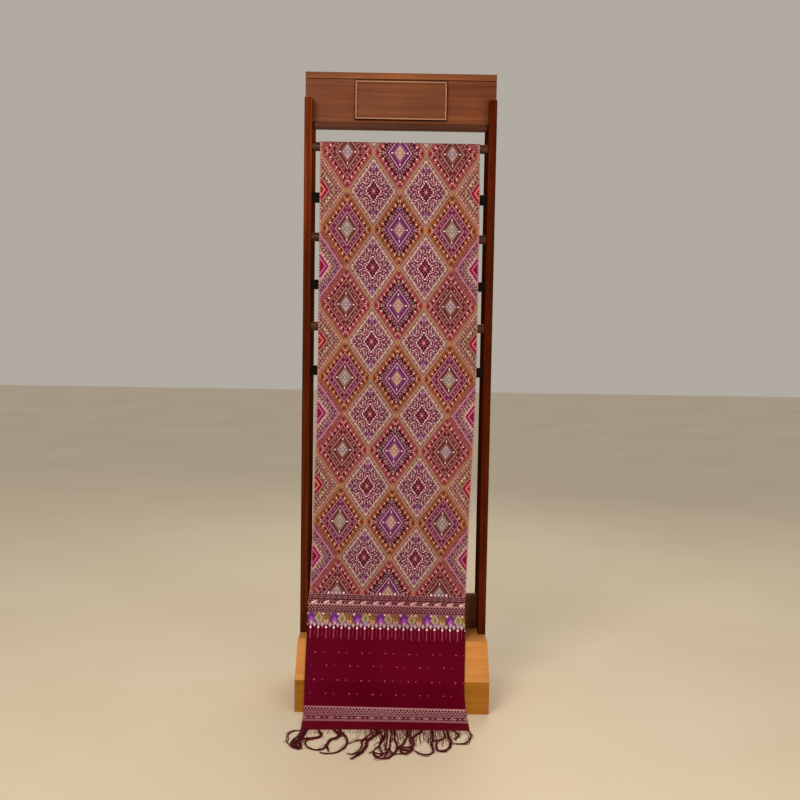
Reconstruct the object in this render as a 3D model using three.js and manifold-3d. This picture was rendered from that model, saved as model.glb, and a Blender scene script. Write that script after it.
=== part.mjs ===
// A silk shawl with tasselled ends, draped over the top rail of a wooden display stand.
// Its front end runs down over the stand's plinth and out onto the floor.
// Units are millimetres. +Z is up, X runs across the stand and -Y faces the viewer.
// The origin is the middle of the plinth's underside.
import * as THREE from "three";
import { mergeVertices } from "three/addons/utils/BufferGeometryUtils.js";
import Module from "manifold-3d";

const wasm = await Module();
wasm.setup();

// Driving sizes of the stand
const STAND_WIDTH = 596;
const SEAT_GAP = 0.3;
const PLINTH = { depth: 360, height: 198, frontHeight: 101, slopeRun: 97 };
const UPRIGHT = { thickness: 24, depth: 160, setback: 170, frontTop: 1885 };
const HEADER = { front: 25, thickness: 20, bottom: 1815, top: 1949 };
const CAP = { front: 20, thickness: 19 };
const HEADER_RAIL = { front: 12, depth: 30, height: 21 };
const SIGN = { width: 288, height: 121, thickness: 10, bottom: 1824, rim: 9, pocketDepth: 3, bevel: 2 };
const HANG_RAIL = { radius: 14, y: 8, topHeight: 1737, pitch: 279, count: 3, sides: 24 };
const CROSS_BAR = { depth: 24, height: 30, topHeight: 1580, pitch: 270, count: 3 };
const BOTTOM_RAIL = { front: 60, thickness: 20, height: 112 };

// Driving sizes of the shawl
const SHAWL = { length: 2500, thickness: 2, columns: 16 };
const EDGE_CLEARANCE = 2.6;
const LIFT_RADIUS = 170;
const NOSE_RADIUS = 10;
const FLOOR_BEND_RADIUS = 22;
const HEM_AHEAD = 129;

// The hem's distance in front of the plinth, beyond HEM_AHEAD, across the cloth
const HEM_LINE = [
  { across: -1, extra: 8 },
  { across: -0.6, extra: 3 },
  { across: 0, extra: -2 },
  { across: 0.6, extra: -2 },
  { across: 1, extra: 0 },
];

// Where the cloth's middle lies and how wide it is, by distance up from the front hem
const LAY = [
  { up: 0, middle: -18, width: 497 },
  { up: 110, middle: -20, width: 497 },
  { up: 175, middle: -23, width: 490 },
  { up: 220, middle: -23, width: 489 },
  { up: 305, middle: -22, width: 495 },
  { up: 390, middle: -21, width: 500 },
  { up: 480, middle: -21, width: 503 },
  { up: 530, middle: -17, width: 500 },
  { up: 810, middle: -9.5, width: 498 },
  { up: 1130, middle: -0.5, width: 501 },
  { up: 1450, middle: 1, width: 500 },
  { up: 1760, middle: 0.5, width: 498 },
  { up: 1945, middle: -1, width: 496 },
  { up: 2500, middle: 0, width: 498 },
];

// Soft waves that stand proud of the hanging face, by distance up from the front hem
const WAVES = { startUp: 150, fullUp: 300, fadeUp: 1700, endUp: 1880, height: 2.4, across: 1.35, lean: 0.0011 };

// Fringe sizes
const STRIP = { width: 3, height: 2 };
const LOCK = { stepsPerPoint: 2, topShare: 0.45, tipFrom: 0.9, tipShare: 0.7 };
const THREAD = { width: 2, height: 1.6, steps: 6, stops: [0.35, 0.7, 1], sway: 1, swayPhase: 1.7, uneven: 0.07 };
const BACK_FRINGE = { count: 54, length: 205, uneven: 0.04, width: 2.6, tipShare: 0.6, steps: 4, inset: 6 };
const BACK_SWAY = { side: 1.5, sidePhase: 1.1, back: 2.5, backPhase: 1.9, lengthPhase: 2.3 };

// Locks that lie on the floor. Each route lists x and the distance in front of the plinth's front face.
const LOCKS = [
  { name: "outer left loop", root: -263, width: 3, height: 2.5, route: [
    [-266, 143], [-284, 147], [-297, 160], [-299, 182], [-295, 206], [-297, 230], [-288, 250]] },
  { name: "left ball", root: -254, width: 9, height: 7, route: [
    [-257, 160], [-257, 185], [-264, 212], [-277, 236], [-277, 258], [-267, 268], [-258, 258], [-258, 236]] },
  { name: "left loop", root: -213, width: 5, height: 4, route: [
    [-211, 150], [-206, 170], [-204, 188], [-214, 201], [-231, 204], [-243, 215], [-244, 238],
    [-235, 261], [-216, 279], [-198, 277], [-188, 262]] },
  { name: "second loop, near side", root: -172, width: 5, height: 4, route: [
    [-166, 148], [-156, 165], [-152, 182], [-161, 195], [-174, 206], [-180, 226], [-181, 250], [-178, 276],
    [-173, 291]] },
  { name: "second loop, far side", root: -153, width: 5, height: 4, route: [
    [-147, 150], [-139, 170], [-131, 188], [-126, 212], [-127, 240], [-134, 266], [-147, 291], [-166, 303],
    [-185, 304], [-199, 298]] },
  { name: "forked lock, short end", root: -60, width: 4, height: 3.5, route: [
    [-61, 160], [-72, 188], [-82, 215], [-84, 245], [-88, 273], [-97, 295], [-110, 305], [-122, 298]] },
  { name: "forked lock, long end", root: -45, width: 9, height: 6, route: [
    [-42, 155], [-46, 176], [-59, 198], [-69, 222], [-71, 250], [-76, 277], [-85, 301], [-98, 321], [-111, 340]] },
  { name: "left side of the tangle", root: -34, width: 5, height: 4, route: [
    [-33, 155], [-26, 180], [-29, 212], [-34, 242], [-30, 270], [-25, 296], [-32, 318], [-43, 313], [-50, 301]] },
  { name: "middle of the tangle", root: -14, width: 4, height: 3.5, route: [
    [-13, 170], [-13, 205], [-16, 240], [-14, 268], [-10, 290], [-14, 310], [-24, 330]] },
  { name: "right side of the tangle", root: 8, width: 5, height: 4, route: [
    [10, 165], [10, 205], [15, 238], [16, 268], [10, 296], [-1, 317], [-13, 335]] },
  { name: "flat lock", root: 90, width: 6, height: 5, route: [
    [83, 152], [71, 169], [62, 192], [64, 222], [62, 246], [50, 257], [36, 257], [27, 268], [27, 286],
    [38, 296], [49, 287]] },
  { name: "middle loop", root: 119, width: 5, height: 4.5, route: [
    [120, 165], [119, 198], [114, 226], [116, 256], [117, 284], [105, 302], [86, 302], [73, 290], [66, 276]] },
  { name: "right arc", root: 165, width: 6, height: 5, route: [
    [164, 155], [167, 184], [171, 212], [168, 240], [160, 264], [145, 278], [131, 276], [128, 260], [128, 236],
    [130, 212]] },
  { name: "small right loop", root: 181, width: 4, height: 3.5, route: [
    [189, 147], [195, 166], [189, 185], [182, 200]] },
  { name: "outer right loop", root: 225, width: 3.5, height: 3, route: [
    [231, 148], [231, 174], [224, 199], [213, 217], [198, 224], [183, 220]] },
];

// Straight fine threads between the locks
const THREAD_ZONES = [
  { from: -246, to: -221, pitch: 6, reach: 50 },
  { from: -197, to: -180, pitch: 5.5, reach: 62 },
  { from: -119, to: -84, pitch: 5.6, reach: 62 },
  { from: -77, to: -69, pitch: 5.6, reach: 28 },
  { from: -3, to: -2, pitch: 6, reach: 118 },
  { from: 18, to: 54, pitch: 5.1, reach: 112 },
  { from: 97, to: 107, pitch: 4.6, reach: 118 },
  { from: 126, to: 155, pitch: 5.6, reach: 62 },
  { from: 203, to: 218, pitch: 5, reach: 46 },
];

// Places worked out from the driving sizes
const PLINTH_FRONT = -PLINTH.depth / 2;
const UPRIGHT_FRONT = PLINTH_FRONT + UPRIGHT.setback;
const UPRIGHT_BACK = UPRIGHT_FRONT + UPRIGHT.depth;
const HEADER_BACK = HEADER.front + HEADER.thickness;
const INNER_HALF = STAND_WIDTH / 2 - UPRIGHT.thickness - SEAT_GAP;
const HALF_CLOTH = SHAWL.thickness / 2;
const DRAPE_RADIUS = HANG_RAIL.radius + SEAT_GAP + HALF_CLOTH;

// Finishes
const silk = new THREE.MeshStandardMaterial({ color: 0x7a2436, roughness: 0.55, metalness: 0 });
const thread = new THREE.MeshStandardMaterial({ color: 0x4a0c18, roughness: 0.6, metalness: 0 });
const darkWood = new THREE.MeshStandardMaterial({ color: 0x7a4426, roughness: 0.4, metalness: 0 });
const blackWood = new THREE.MeshStandardMaterial({ color: 0x1c100a, roughness: 0.5, metalness: 0 });
const railWood = new THREE.MeshStandardMaterial({ color: 0x9a5c34, roughness: 0.45, metalness: 0 });
const lightWood = new THREE.MeshStandardMaterial({ color: 0xc98c48, roughness: 0.5, metalness: 0 });

// Named mesh of a geometry and its finish
function piece(name, geometry, material) {
  const mesh = new THREE.Mesh(geometry, material);
  mesh.name = name;
  return mesh;
}

// Straight board between two corners
function board(name, low, high, material) {
  const size = high.map((value, k) => value - low[k]);
  const mesh = piece(name, new THREE.BoxGeometry(...size), material);
  mesh.position.set(...high.map((value, k) => (value + low[k]) / 2));
  return mesh;
}

// Outline in the side view, as y and z, carried across the stand from one x to another
function sideProfile(name, outline, fromX, toX, material) {
  const shape = new THREE.Shape(outline.map(([y, z]) => new THREE.Vector2(y, z)));
  const geometry = new THREE.ExtrudeGeometry(shape, { depth: toX - fromX, bevelEnabled: false });
  const alongY = new THREE.Vector3(0, 1, 0);
  const alongZ = new THREE.Vector3(0, 0, 1);
  const alongX = new THREE.Vector3(1, 0, 0);
  geometry.applyMatrix4(new THREE.Matrix4().makeBasis(alongY, alongZ, alongX));
  const mesh = piece(name, geometry, material);
  mesh.position.x = fromX;
  return mesh;
}

// Closed mesh as a solid that can be joined or cut
function solidOf(geometry) {
  const bare = geometry.clone();
  bare.deleteAttribute("normal");
  bare.deleteAttribute("uv");
  const merged = mergeVertices(bare);
  return new wasm.Manifold(new wasm.Mesh({
    numProp: 3,
    vertProperties: new Float32Array(merged.attributes.position.array),
    triVerts: new Uint32Array(merged.index.array),
  }));
}

// Solid back as a geometry
function geometryOf(solid) {
  const mesh = solid.getMesh();
  const geometry = new THREE.BufferGeometry();
  geometry.setAttribute("position", new THREE.BufferAttribute(new Float32Array(mesh.vertProperties), 3));
  geometry.setIndex(new THREE.BufferAttribute(new Uint32Array(mesh.triVerts), 1));
  geometry.computeVertexNormals();
  return geometry;
}

// Value between the rows of a table, on a smooth curve through them all
function smooth(table, key, value, at) {
  const last = table.length - 1;
  if (at <= table[0][key]) return table[0][value];
  if (at >= table[last][key]) return table[last][value];
  const next = table.findIndex((row) => row[key] > at);
  const slope = (k) => {
    const before = table[Math.max(k - 1, 0)];
    const after = table[Math.min(k + 1, last)];
    return (after[value] - before[value]) / (after[key] - before[key]);
  };
  const low = table[next - 1];
  const high = table[next];
  const span = high[key] - low[key];
  const t = (at - low[key]) / span;
  const rise = high[value] - low[value];
  const bulge = slope(next - 1) * span * (1 - t) - slope(next) * span * t;
  return low[value] + rise * t * t * (3 - 2 * t) + bulge * t * (1 - t);
}

// Plinth: an upright front, a slope above it and a level top that carries the uprights
function makePlinth() {
  const back = PLINTH.depth / 2;
  const outline = [
    [PLINTH_FRONT, 0],
    [back, 0],
    [back, PLINTH.height],
    [PLINTH_FRONT + PLINTH.slopeRun, PLINTH.height],
    [PLINTH_FRONT, PLINTH.frontHeight],
  ];
  return sideProfile("plinth", outline, -STAND_WIDTH / 2, STAND_WIDTH / 2, lightWood);
}

// Side board with a slot at the top that holds the header board
function makeUpright(name, outerX, innerX) {
  const foot = PLINTH.height + SEAT_GAP;
  const outline = [
    [UPRIGHT_FRONT, foot],
    [UPRIGHT_BACK, foot],
    [UPRIGHT_BACK, HEADER.top],
    [HEADER_BACK + SEAT_GAP, HEADER.top],
    [HEADER_BACK + SEAT_GAP, HEADER.bottom - SEAT_GAP],
    [HEADER.front - SEAT_GAP, HEADER.bottom - SEAT_GAP],
    [HEADER.front - SEAT_GAP, UPRIGHT.frontTop],
    [UPRIGHT_FRONT, UPRIGHT.frontTop],
  ];
  return sideProfile(name, outline, Math.min(outerX, innerX), Math.max(outerX, innerX), darkWood);
}

// Header: the wide board in the uprights' slots, the cap over it and the rail under it
function makeHeader() {
  const half = STAND_WIDTH / 2;
  const railTop = HEADER.bottom - SEAT_GAP;
  const capBottom = HEADER.top + SEAT_GAP;
  return [
    board("header_board", [-half, HEADER.front, HEADER.bottom], [half, HEADER_BACK, HEADER.top], darkWood),
    board("header_cap", [-half, CAP.front, capBottom], [half, UPRIGHT_BACK, capBottom + CAP.thickness], darkWood),
    board("header_rail", [-INNER_HALF, HEADER_RAIL.front, railTop - HEADER_RAIL.height],
      [INNER_HALF, HEADER_RAIL.front + HEADER_RAIL.depth, railTop], darkWood),
  ];
}

// Blank name board: a bevelled plate with a shallow sunk field inside its rim
function makeSignPlate() {
  const halfWidth = SIGN.width / 2 - SIGN.bevel;
  const halfHeight = SIGN.height / 2 - SIGN.bevel;
  const corners = [[-1, -1], [1, -1], [1, 1], [-1, 1]].map(([x, y]) => [x * halfWidth, y * halfHeight]);
  const shape = new THREE.Shape(corners.map(([x, y]) => new THREE.Vector2(x, y)));
  const plate = new THREE.ExtrudeGeometry(shape, {
    depth: SIGN.thickness - SIGN.bevel,
    bevelEnabled: true,
    bevelThickness: SIGN.bevel,
    bevelSize: SIGN.bevel,
    bevelSegments: 1,
  });
  const backFace = new THREE.BoxGeometry(SIGN.width * 2, SIGN.height * 2, SIGN.bevel * 2);
  backFace.translate(0, 0, -SIGN.bevel);
  const fieldWidth = SIGN.width - 2 * SIGN.rim;
  const fieldHeight = SIGN.height - 2 * SIGN.rim;
  const field = new THREE.BoxGeometry(fieldWidth, fieldHeight, SIGN.pocketDepth * 2);
  field.translate(0, 0, SIGN.thickness);
  const geometry = geometryOf(solidOf(plate).subtract(solidOf(backFace)).subtract(solidOf(field)));
  const mesh = piece("sign_plate", geometry, darkWood);
  mesh.rotation.x = Math.PI / 2;
  mesh.position.set(0, HEADER.front - SEAT_GAP, SIGN.bottom + SIGN.height / 2);
  return mesh;
}

// Round rail between the uprights
function makeHangRail(index) {
  const geometry = new THREE.CylinderGeometry(HANG_RAIL.radius, HANG_RAIL.radius, 2 * INNER_HALF, HANG_RAIL.sides);
  const mesh = piece(`hang_rail_${index + 1}`, geometry, railWood);
  mesh.rotation.z = Math.PI / 2;
  mesh.position.set(0, HANG_RAIL.y, HANG_RAIL.topHeight - index * HANG_RAIL.pitch);
  return mesh;
}

// Square bar between the uprights
function makeCrossBar(index) {
  const middle = CROSS_BAR.topHeight - index * CROSS_BAR.pitch;
  const low = [-INNER_HALF, HANG_RAIL.y - CROSS_BAR.depth / 2, middle - CROSS_BAR.height / 2];
  const high = [INNER_HALF, HANG_RAIL.y + CROSS_BAR.depth / 2, middle + CROSS_BAR.height / 2];
  return board(`cross_bar_${index + 1}`, low, high, blackWood);
}

// Board that ties the uprights' feet together
function makeBottomRail() {
  const foot = PLINTH.height + SEAT_GAP;
  const low = [-INNER_HALF, BOTTOM_RAIL.front, foot];
  const high = [INNER_HALF, BOTTOM_RAIL.front + BOTTOM_RAIL.thickness, foot + BOTTOM_RAIL.height];
  return board("bottom_rail", low, high, darkWood);
}

// Side view of the cloth's middle layer, as straight runs and bends, from its back hem to its front hem
function drapePath() {
  const clear = EDGE_CLEARANCE + HALF_CLOTH;
  const fallY = HANG_RAIL.y - DRAPE_RADIUS;
  const slopeLine = PLINTH.height - PLINTH_FRONT - PLINTH.slopeRun + clear * Math.SQRT2;
  const liftHeight = slopeLine + fallY + LIFT_RADIUS * (Math.SQRT2 - 1);
  const liftEnd = fallY - LIFT_RADIUS * (1 - Math.SQRT1_2);
  const noseCentreY = PLINTH_FRONT - clear + NOSE_RADIUS;
  const noseCentreZ = noseCentreY + slopeLine - NOSE_RADIUS * Math.SQRT2;
  const noseStartY = noseCentreY - NOSE_RADIUS * Math.SQRT1_2;
  const faceEnd = HALF_CLOTH + FLOOR_BEND_RADIUS;
  const floorStart = PLINTH_FRONT - clear - FLOOR_BEND_RADIUS;
  const hemY = PLINTH_FRONT - HEM_AHEAD;
  const runs = [
    { length: 0, steps: 5 },
    { radius: DRAPE_RADIUS, turn: Math.PI, steps: 12 },
    { length: HANG_RAIL.topHeight - liftHeight, steps: 16 },
    { radius: LIFT_RADIUS, turn: -Math.PI / 4, steps: 6 },
    { length: (liftEnd - noseStartY) * Math.SQRT2, steps: 5 },
    { radius: NOSE_RADIUS, turn: Math.PI / 4, steps: 3 },
    { length: noseCentreZ - faceEnd, steps: 3 },
    { radius: FLOOR_BEND_RADIUS, turn: -Math.PI / 2, steps: 6 },
    { length: floorStart - hemY, steps: 5 },
  ];
  const known = runs.reduce((sum, run) => sum + (run.radius ? run.radius * Math.abs(run.turn) : run.length), 0);
  runs[0].length = SHAWL.length - known;
  const rows = [];
  let y = HANG_RAIL.y + DRAPE_RADIUS;
  let z = HANG_RAIL.topHeight - runs[0].length;
  let heading = Math.PI / 2;
  let along = 0;
  const addRow = () => rows.push({ y, z, heading, up: SHAWL.length - along });
  addRow();
  for (const run of runs) {
    const turnStep = (run.turn ?? 0) / run.steps;
    const stepLength = (run.radius ? run.radius * Math.abs(run.turn) : run.length) / run.steps;
    const chord = run.radius ? 2 * run.radius * Math.sin(Math.abs(turnStep) / 2) : stepLength;
    for (let k = 0; k < run.steps; k += 1) {
      heading += turnStep / 2;
      y += chord * Math.cos(heading);
      z += chord * Math.sin(heading);
      heading += turnStep / 2;
      along += stepLength;
      addRow();
    }
  }
  return { rows, floorStart, hemY };
}

// How far a soft wave lifts the hanging face at one place
function waveLift(up, across) {
  const rise = THREE.MathUtils.smoothstep(up, WAVES.startUp, WAVES.fullUp);
  const fade = 1 - THREE.MathUtils.smoothstep(up, WAVES.fadeUp, WAVES.endUp);
  const phase = Math.PI * (WAVES.across * across + WAVES.lean * up);
  return WAVES.height * rise * fade * (0.5 + 0.5 * Math.sin(2 * phase));
}

// Where the hem lies in front of the plinth, at a share of the cloth's half width
function hemAhead(across) {
  return HEM_AHEAD + smooth(HEM_LINE, "across", "extra", across);
}

// Draped sheet: a closed thin solid on the path's rows, from one selvedge to the other
function makeShawl() {
  const { rows, floorStart, hemY } = drapePath();
  const columns = SHAWL.columns;
  const points = [];
  for (const side of [1, -1]) {
    for (const row of rows) {
      const outY = Math.sin(row.heading);
      const outZ = -Math.cos(row.heading);
      const floorShare = THREE.MathUtils.clamp((floorStart - row.y) / (floorStart - hemY), 0, 1);
      for (let j = 0; j <= columns; j += 1) {
        const across = (2 * j) / columns - 1;
        const x = smooth(LAY, "up", "middle", row.up) + (across * smooth(LAY, "up", "width", row.up)) / 2;
        const lift = waveLift(row.up, across) + side * HALF_CLOTH;
        const hemShift = floorShare * (hemAhead(across) - HEM_AHEAD);
        points.push(x, row.y + outY * lift - hemShift, row.z + outZ * lift);
      }
    }
  }
  const stride = columns + 1;
  const layer = rows.length * stride;
  const faces = [];
  const quad = (a, b, c, d) => faces.push(a, c, b, a, d, c);
  for (let i = 0; i < rows.length - 1; i += 1) {
    for (let j = 0; j < columns; j += 1) {
      const a = i * stride + j;
      quad(a, a + 1, a + 1 + stride, a + stride);
      quad(layer + a, layer + a + stride, layer + a + 1 + stride, layer + a + 1);
    }
    const left = i * stride;
    const right = left + columns;
    quad(left, left + stride, layer + left + stride, layer + left);
    quad(right + stride, right, layer + right, layer + right + stride);
  }
  const lastRow = (rows.length - 1) * stride;
  for (let j = 0; j < columns; j += 1) {
    quad(j + 1, j, layer + j, layer + j + 1);
    quad(lastRow + j, lastRow + j + 1, layer + lastRow + j + 1, layer + lastRow + j);
  }
  const geometry = new THREE.BufferGeometry();
  geometry.setAttribute("position", new THREE.Float32BufferAttribute(points, 3));
  geometry.setIndex(faces);
  geometry.computeVertexNormals();
  return piece("shawl", geometry, silk);
}

// Closed tube of a few sides through the given sections, each a ring of points
function ringTube(rings) {
  const sides = rings[0].length;
  const faces = [];
  for (let i = 0; i < rings.length - 1; i += 1) {
    for (let k = 0; k < sides; k += 1) {
      const next = (k + 1) % sides;
      const a = i * sides + k;
      const b = i * sides + next;
      faces.push(a, b + sides, b, a, a + sides, b + sides);
    }
  }
  const last = (rings.length - 1) * sides;
  for (let k = 1; k < sides - 1; k += 1) {
    faces.push(0, k, k + 1);
    faces.push(last, last + k + 1, last + k);
  }
  const geometry = new THREE.BufferGeometry();
  geometry.setAttribute("position", new THREE.Float32BufferAttribute(rings.flat(2), 3));
  geometry.setIndex(faces);
  return geometry;
}

// Strand that lies level on the floor along a smooth route, with a flat underside
function floorStrand(route, width, height, steps, topShare) {
  const curve = new THREE.CatmullRomCurve3(route.map(([x, y]) => new THREE.Vector3(x, y, 0)), false, "centripetal");
  const rings = [];
  for (let i = 0; i <= steps; i += 1) {
    const share = i / steps;
    const point = curve.getPointAt(share);
    const tangent = curve.getTangentAt(share);
    const half = (width / 2) * (share > LOCK.tipFrom ? LOCK.tipShare : 1);
    const rightX = tangent.y * half;
    const rightY = -tangent.x * half;
    const ring = [
      [point.x - rightX, point.y - rightY, 0],
      [point.x + rightX, point.y + rightY, 0],
    ];
    if (topShare > 0) ring.push([point.x + rightX * topShare, point.y + rightY * topShare, height]);
    ring.push([point.x - rightX * topShare, point.y - rightY * topShare, height]);
    rings.push(ring);
  }
  return ringTube(rings);
}

// Narrow strip along a run of points that ties the strand roots together
function rootStrip(points, low, high) {
  const rings = points.map(([x, y, z]) => [
    [x, y + low[0], z + low[1]],
    [x, y + low[0], z + high[1]],
    [x, y + high[0], z + high[1]],
    [x, y + high[0], z + low[1]],
  ]);
  return ringTube(rings);
}

// Front fringe: locks and threads that lie on the floor ahead of the hem
function makeFrontFringe() {
  const middle = LAY[0].middle;
  const half = LAY[0].width / 2;
  const hemAt = (x) => PLINTH_FRONT - hemAhead((x - middle) / half) - SEAT_GAP;
  const stripPoints = [];
  for (let k = 0; k <= SHAWL.columns; k += 1) {
    const x = middle + half * ((2 * k) / SHAWL.columns - 1);
    stripPoints.push([x, hemAt(x), 0]);
  }
  let fringe = solidOf(rootStrip(stripPoints, [-STRIP.width, 0], [0, STRIP.height]));
  for (const lock of LOCKS) {
    const start = [lock.root, hemAt(lock.root) - STRIP.width / 2];
    const route = [start, ...lock.route.map(([x, ahead]) => [x, PLINTH_FRONT - ahead])];
    const steps = route.length * LOCK.stepsPerPoint;
    fringe = fringe.add(solidOf(floorStrand(route, lock.width, lock.height, steps, LOCK.topShare)));
  }
  for (const zone of THREAD_ZONES) {
    for (let x = zone.from; x <= zone.to; x += zone.pitch) {
      const start = hemAt(x) - STRIP.width / 2;
      const turn = Math.sin(x * THREAD.swayPhase);
      const reach = zone.reach * (1 - THREAD.uneven * (1 - turn));
      const route = [[x, start]];
      for (const share of THREAD.stops) {
        route.push([x + THREAD.sway * turn * Math.sin(share * Math.PI), start - reach * share]);
      }
      fringe = fringe.add(solidOf(floorStrand(route, THREAD.width, THREAD.height, THREAD.steps, 0)));
    }
  }
  return piece("fringe_front", geometryOf(fringe), thread);
}

// Back fringe: threads that hang straight down from the cloth's back hem
function makeBackFringe() {
  const { rows } = drapePath();
  const hem = rows[0];
  const top = hem.z - SEAT_GAP;
  const lay = LAY[LAY.length - 1];
  const half = lay.width / 2;
  const strip = rootStrip([[lay.middle - half, hem.y, top], [lay.middle + half, hem.y, top]],
    [-HALF_CLOTH, -STRIP.width], [HALF_CLOTH, 0]);
  let fringe = solidOf(strip);
  for (let n = 0; n < BACK_FRINGE.count; n += 1) {
    const share = n / (BACK_FRINGE.count - 1);
    const rootX = lay.middle - half + BACK_FRINGE.inset + share * (lay.width - 2 * BACK_FRINGE.inset);
    const length = BACK_FRINGE.length * (1 - BACK_FRINGE.uneven * (1 - Math.sin(n * BACK_SWAY.lengthPhase)));
    const side = BACK_SWAY.side * Math.sin(n * BACK_SWAY.sidePhase);
    const back = BACK_SWAY.back * (1 + Math.sin(n * BACK_SWAY.backPhase));
    const rings = [];
    for (let i = 0; i <= BACK_FRINGE.steps; i += 1) {
      const drop = i / BACK_FRINGE.steps;
      const x = rootX + side * drop;
      const y = hem.y + back * drop;
      const z = top - STRIP.width / 2 - drop * length;
      const arm = (BACK_FRINGE.width / 2) * (1 - (1 - BACK_FRINGE.tipShare) * drop);
      const foot = y - arm / 2;
      rings.push([[x, y + arm, z], [x - arm, foot, z], [x + arm, foot, z]]);
    }
    fringe = fringe.add(solidOf(ringTube(rings)));
  }
  return piece("fringe_back", geometryOf(fringe), thread);
}

// The whole object
const shawlOnStand = new THREE.Group();
const outerHalf = STAND_WIDTH / 2;
const innerHalf = outerHalf - UPRIGHT.thickness;
shawlOnStand.add(makePlinth());
shawlOnStand.add(makeUpright("upright_left", -outerHalf, -innerHalf));
shawlOnStand.add(makeUpright("upright_right", outerHalf, innerHalf));
shawlOnStand.add(...makeHeader());
shawlOnStand.add(makeSignPlate());
for (let index = 0; index < HANG_RAIL.count; index += 1) shawlOnStand.add(makeHangRail(index));
for (let index = 0; index < CROSS_BAR.count; index += 1) shawlOnStand.add(makeCrossBar(index));
shawlOnStand.add(makeBottomRail());
shawlOnStand.add(makeShawl());
shawlOnStand.add(makeFrontFringe());
shawlOnStand.add(makeBackFringe());

export default shawlOnStand;
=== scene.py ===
"""Looks of a fringed silk shawl that hangs over the rail of a wooden display stand.

Lengths in the tables are in millimetres, as a weaver and a joiner would note them. MM turns them to metres.
"""
import functools
import logging
import math
import random
from collections.abc import Callable, Sequence
from dataclasses import dataclass, field
from enum import Enum

import bmesh
import bpy
from bpy.types import Material, Node, NodeSocket, NodeTree
from mathutils import Matrix, Vector, noise

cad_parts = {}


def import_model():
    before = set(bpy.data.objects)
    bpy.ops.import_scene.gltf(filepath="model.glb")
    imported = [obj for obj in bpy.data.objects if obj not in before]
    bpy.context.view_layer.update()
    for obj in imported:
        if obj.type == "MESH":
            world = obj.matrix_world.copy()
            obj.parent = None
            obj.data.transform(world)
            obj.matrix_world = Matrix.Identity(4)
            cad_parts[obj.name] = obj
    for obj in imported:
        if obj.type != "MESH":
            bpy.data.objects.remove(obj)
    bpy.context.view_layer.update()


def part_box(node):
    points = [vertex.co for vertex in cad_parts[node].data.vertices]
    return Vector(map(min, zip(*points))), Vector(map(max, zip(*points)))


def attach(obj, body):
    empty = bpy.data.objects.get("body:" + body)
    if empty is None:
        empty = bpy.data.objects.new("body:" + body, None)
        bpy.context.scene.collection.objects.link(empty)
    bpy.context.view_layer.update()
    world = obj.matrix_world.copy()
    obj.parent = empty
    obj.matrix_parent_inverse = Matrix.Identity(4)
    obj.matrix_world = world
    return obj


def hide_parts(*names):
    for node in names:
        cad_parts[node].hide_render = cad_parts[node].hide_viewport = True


MM = 0.001
LOG = logging.getLogger("shawl")


def srgb(code: str) -> tuple[float, float, float, float]:
    """Turns an sRGB hex colour to the linear colour that the shaders take.

    Args:
        code: Six hex digits, as in "5c0a1e".

    Returns:
        Red, green, blue and an alpha of one.
    """
    parts = [int(code[k : k + 2], 16) / 255 for k in (0, 2, 4)]
    linear = [v / 12.92 if v <= 0.04045 else ((v + 0.055) / 1.055) ** 2.4 for v in parts]
    return (linear[0], linear[1], linear[2], 1.0)


def add_node(tree: NodeTree, kind: str, *values: object, out: int | str | None = None,
             stops: Sequence[tuple[float, str]] = (), **settings: object) -> Node | NodeSocket:
    """Adds one node with its settings and feeds its inputs.

    Args:
        tree: The node tree that takes the node.
        kind: The node's type name, without the ShaderNode that most begin with.
        values: What feeds the inputs in order: a node, a socket, a plain value, or None to leave one alone.
        out: The output to give back. None gives back the node.
        stops: A colour ramp's places from 0 to 1 and their sRGB hex colours, in order.
        settings: The node's properties. One called named holds a dict of inputs by name or number, and one
            called steps makes a colour ramp's colours flat.

    Returns:
        The new node, or one of its outputs.
    """
    node = tree.nodes.new(kind if kind.startswith("Node") else "ShaderNode" + kind)
    named = settings.pop("named", {})
    steps = settings.pop("steps", False)
    for key, value in settings.items():
        setattr(node, key, value)
    for key, value in [*enumerate(values), *named.items()]:
        if isinstance(value, Node):
            value = value.outputs[0]
        if isinstance(value, NodeSocket):
            tree.links.new(value, node.inputs[key])
        elif value is not None:
            node.inputs[key].default_value = value
    if stops:
        ramp = node.color_ramp
        ramp.interpolation = "CONSTANT" if steps else "LINEAR"
        ramp.elements.remove(ramp.elements[-1])
        ramp.elements[0].position = stops[0][0]
        ramp.elements[0].color = srgb(stops[0][1])
        for at, code in stops[1:]:
            ramp.elements.new(at).color = srgb(code)
    return node if out is None else node.outputs[out]


def new_material(name: str) -> tuple[Material, Callable[..., Node]]:
    """Makes an empty material.

    Args:
        name: Its name.

    Returns:
        The material, and what adds a node to it.
    """
    material = bpy.data.materials.new(name)
    material.use_nodes = True
    material.node_tree.nodes.clear()
    return material, functools.partial(add_node, material.node_tree)


def smooth_table(table: Sequence[tuple[float, ...]], column: int, at: float) -> float:
    """Reads a table on a smooth curve through all its rows.

    Args:
        table: Rows in rising order of their first column.
        column: The column to read.
        at: Where to read it, in the first column's measure.

    Returns:
        The value there.
    """
    last = len(table) - 1
    if at <= table[0][0]:
        return table[0][column]
    if at >= table[last][0]:
        return table[last][column]
    upper = next(k for k, row in enumerate(table) if row[0] > at)

    def slope(k: int) -> float:
        """Finds the slope of the curve at one row.

        Args:
            k: The row's number.

        Returns:
            The slope.
        """
        before = table[max(k - 1, 0)]
        after = table[min(k + 1, last)]
        return (after[column] - before[column]) / (after[0] - before[0])

    low = table[upper - 1]
    high = table[upper]
    span = high[0] - low[0]
    t = (at - low[0]) / span
    rise = high[column] - low[column]
    bulge = slope(upper - 1) * span * (1 - t) - slope(upper) * span * t
    return low[column] + rise * t * t * (3 - 2 * t) + bulge * t * (1 - t)


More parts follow.
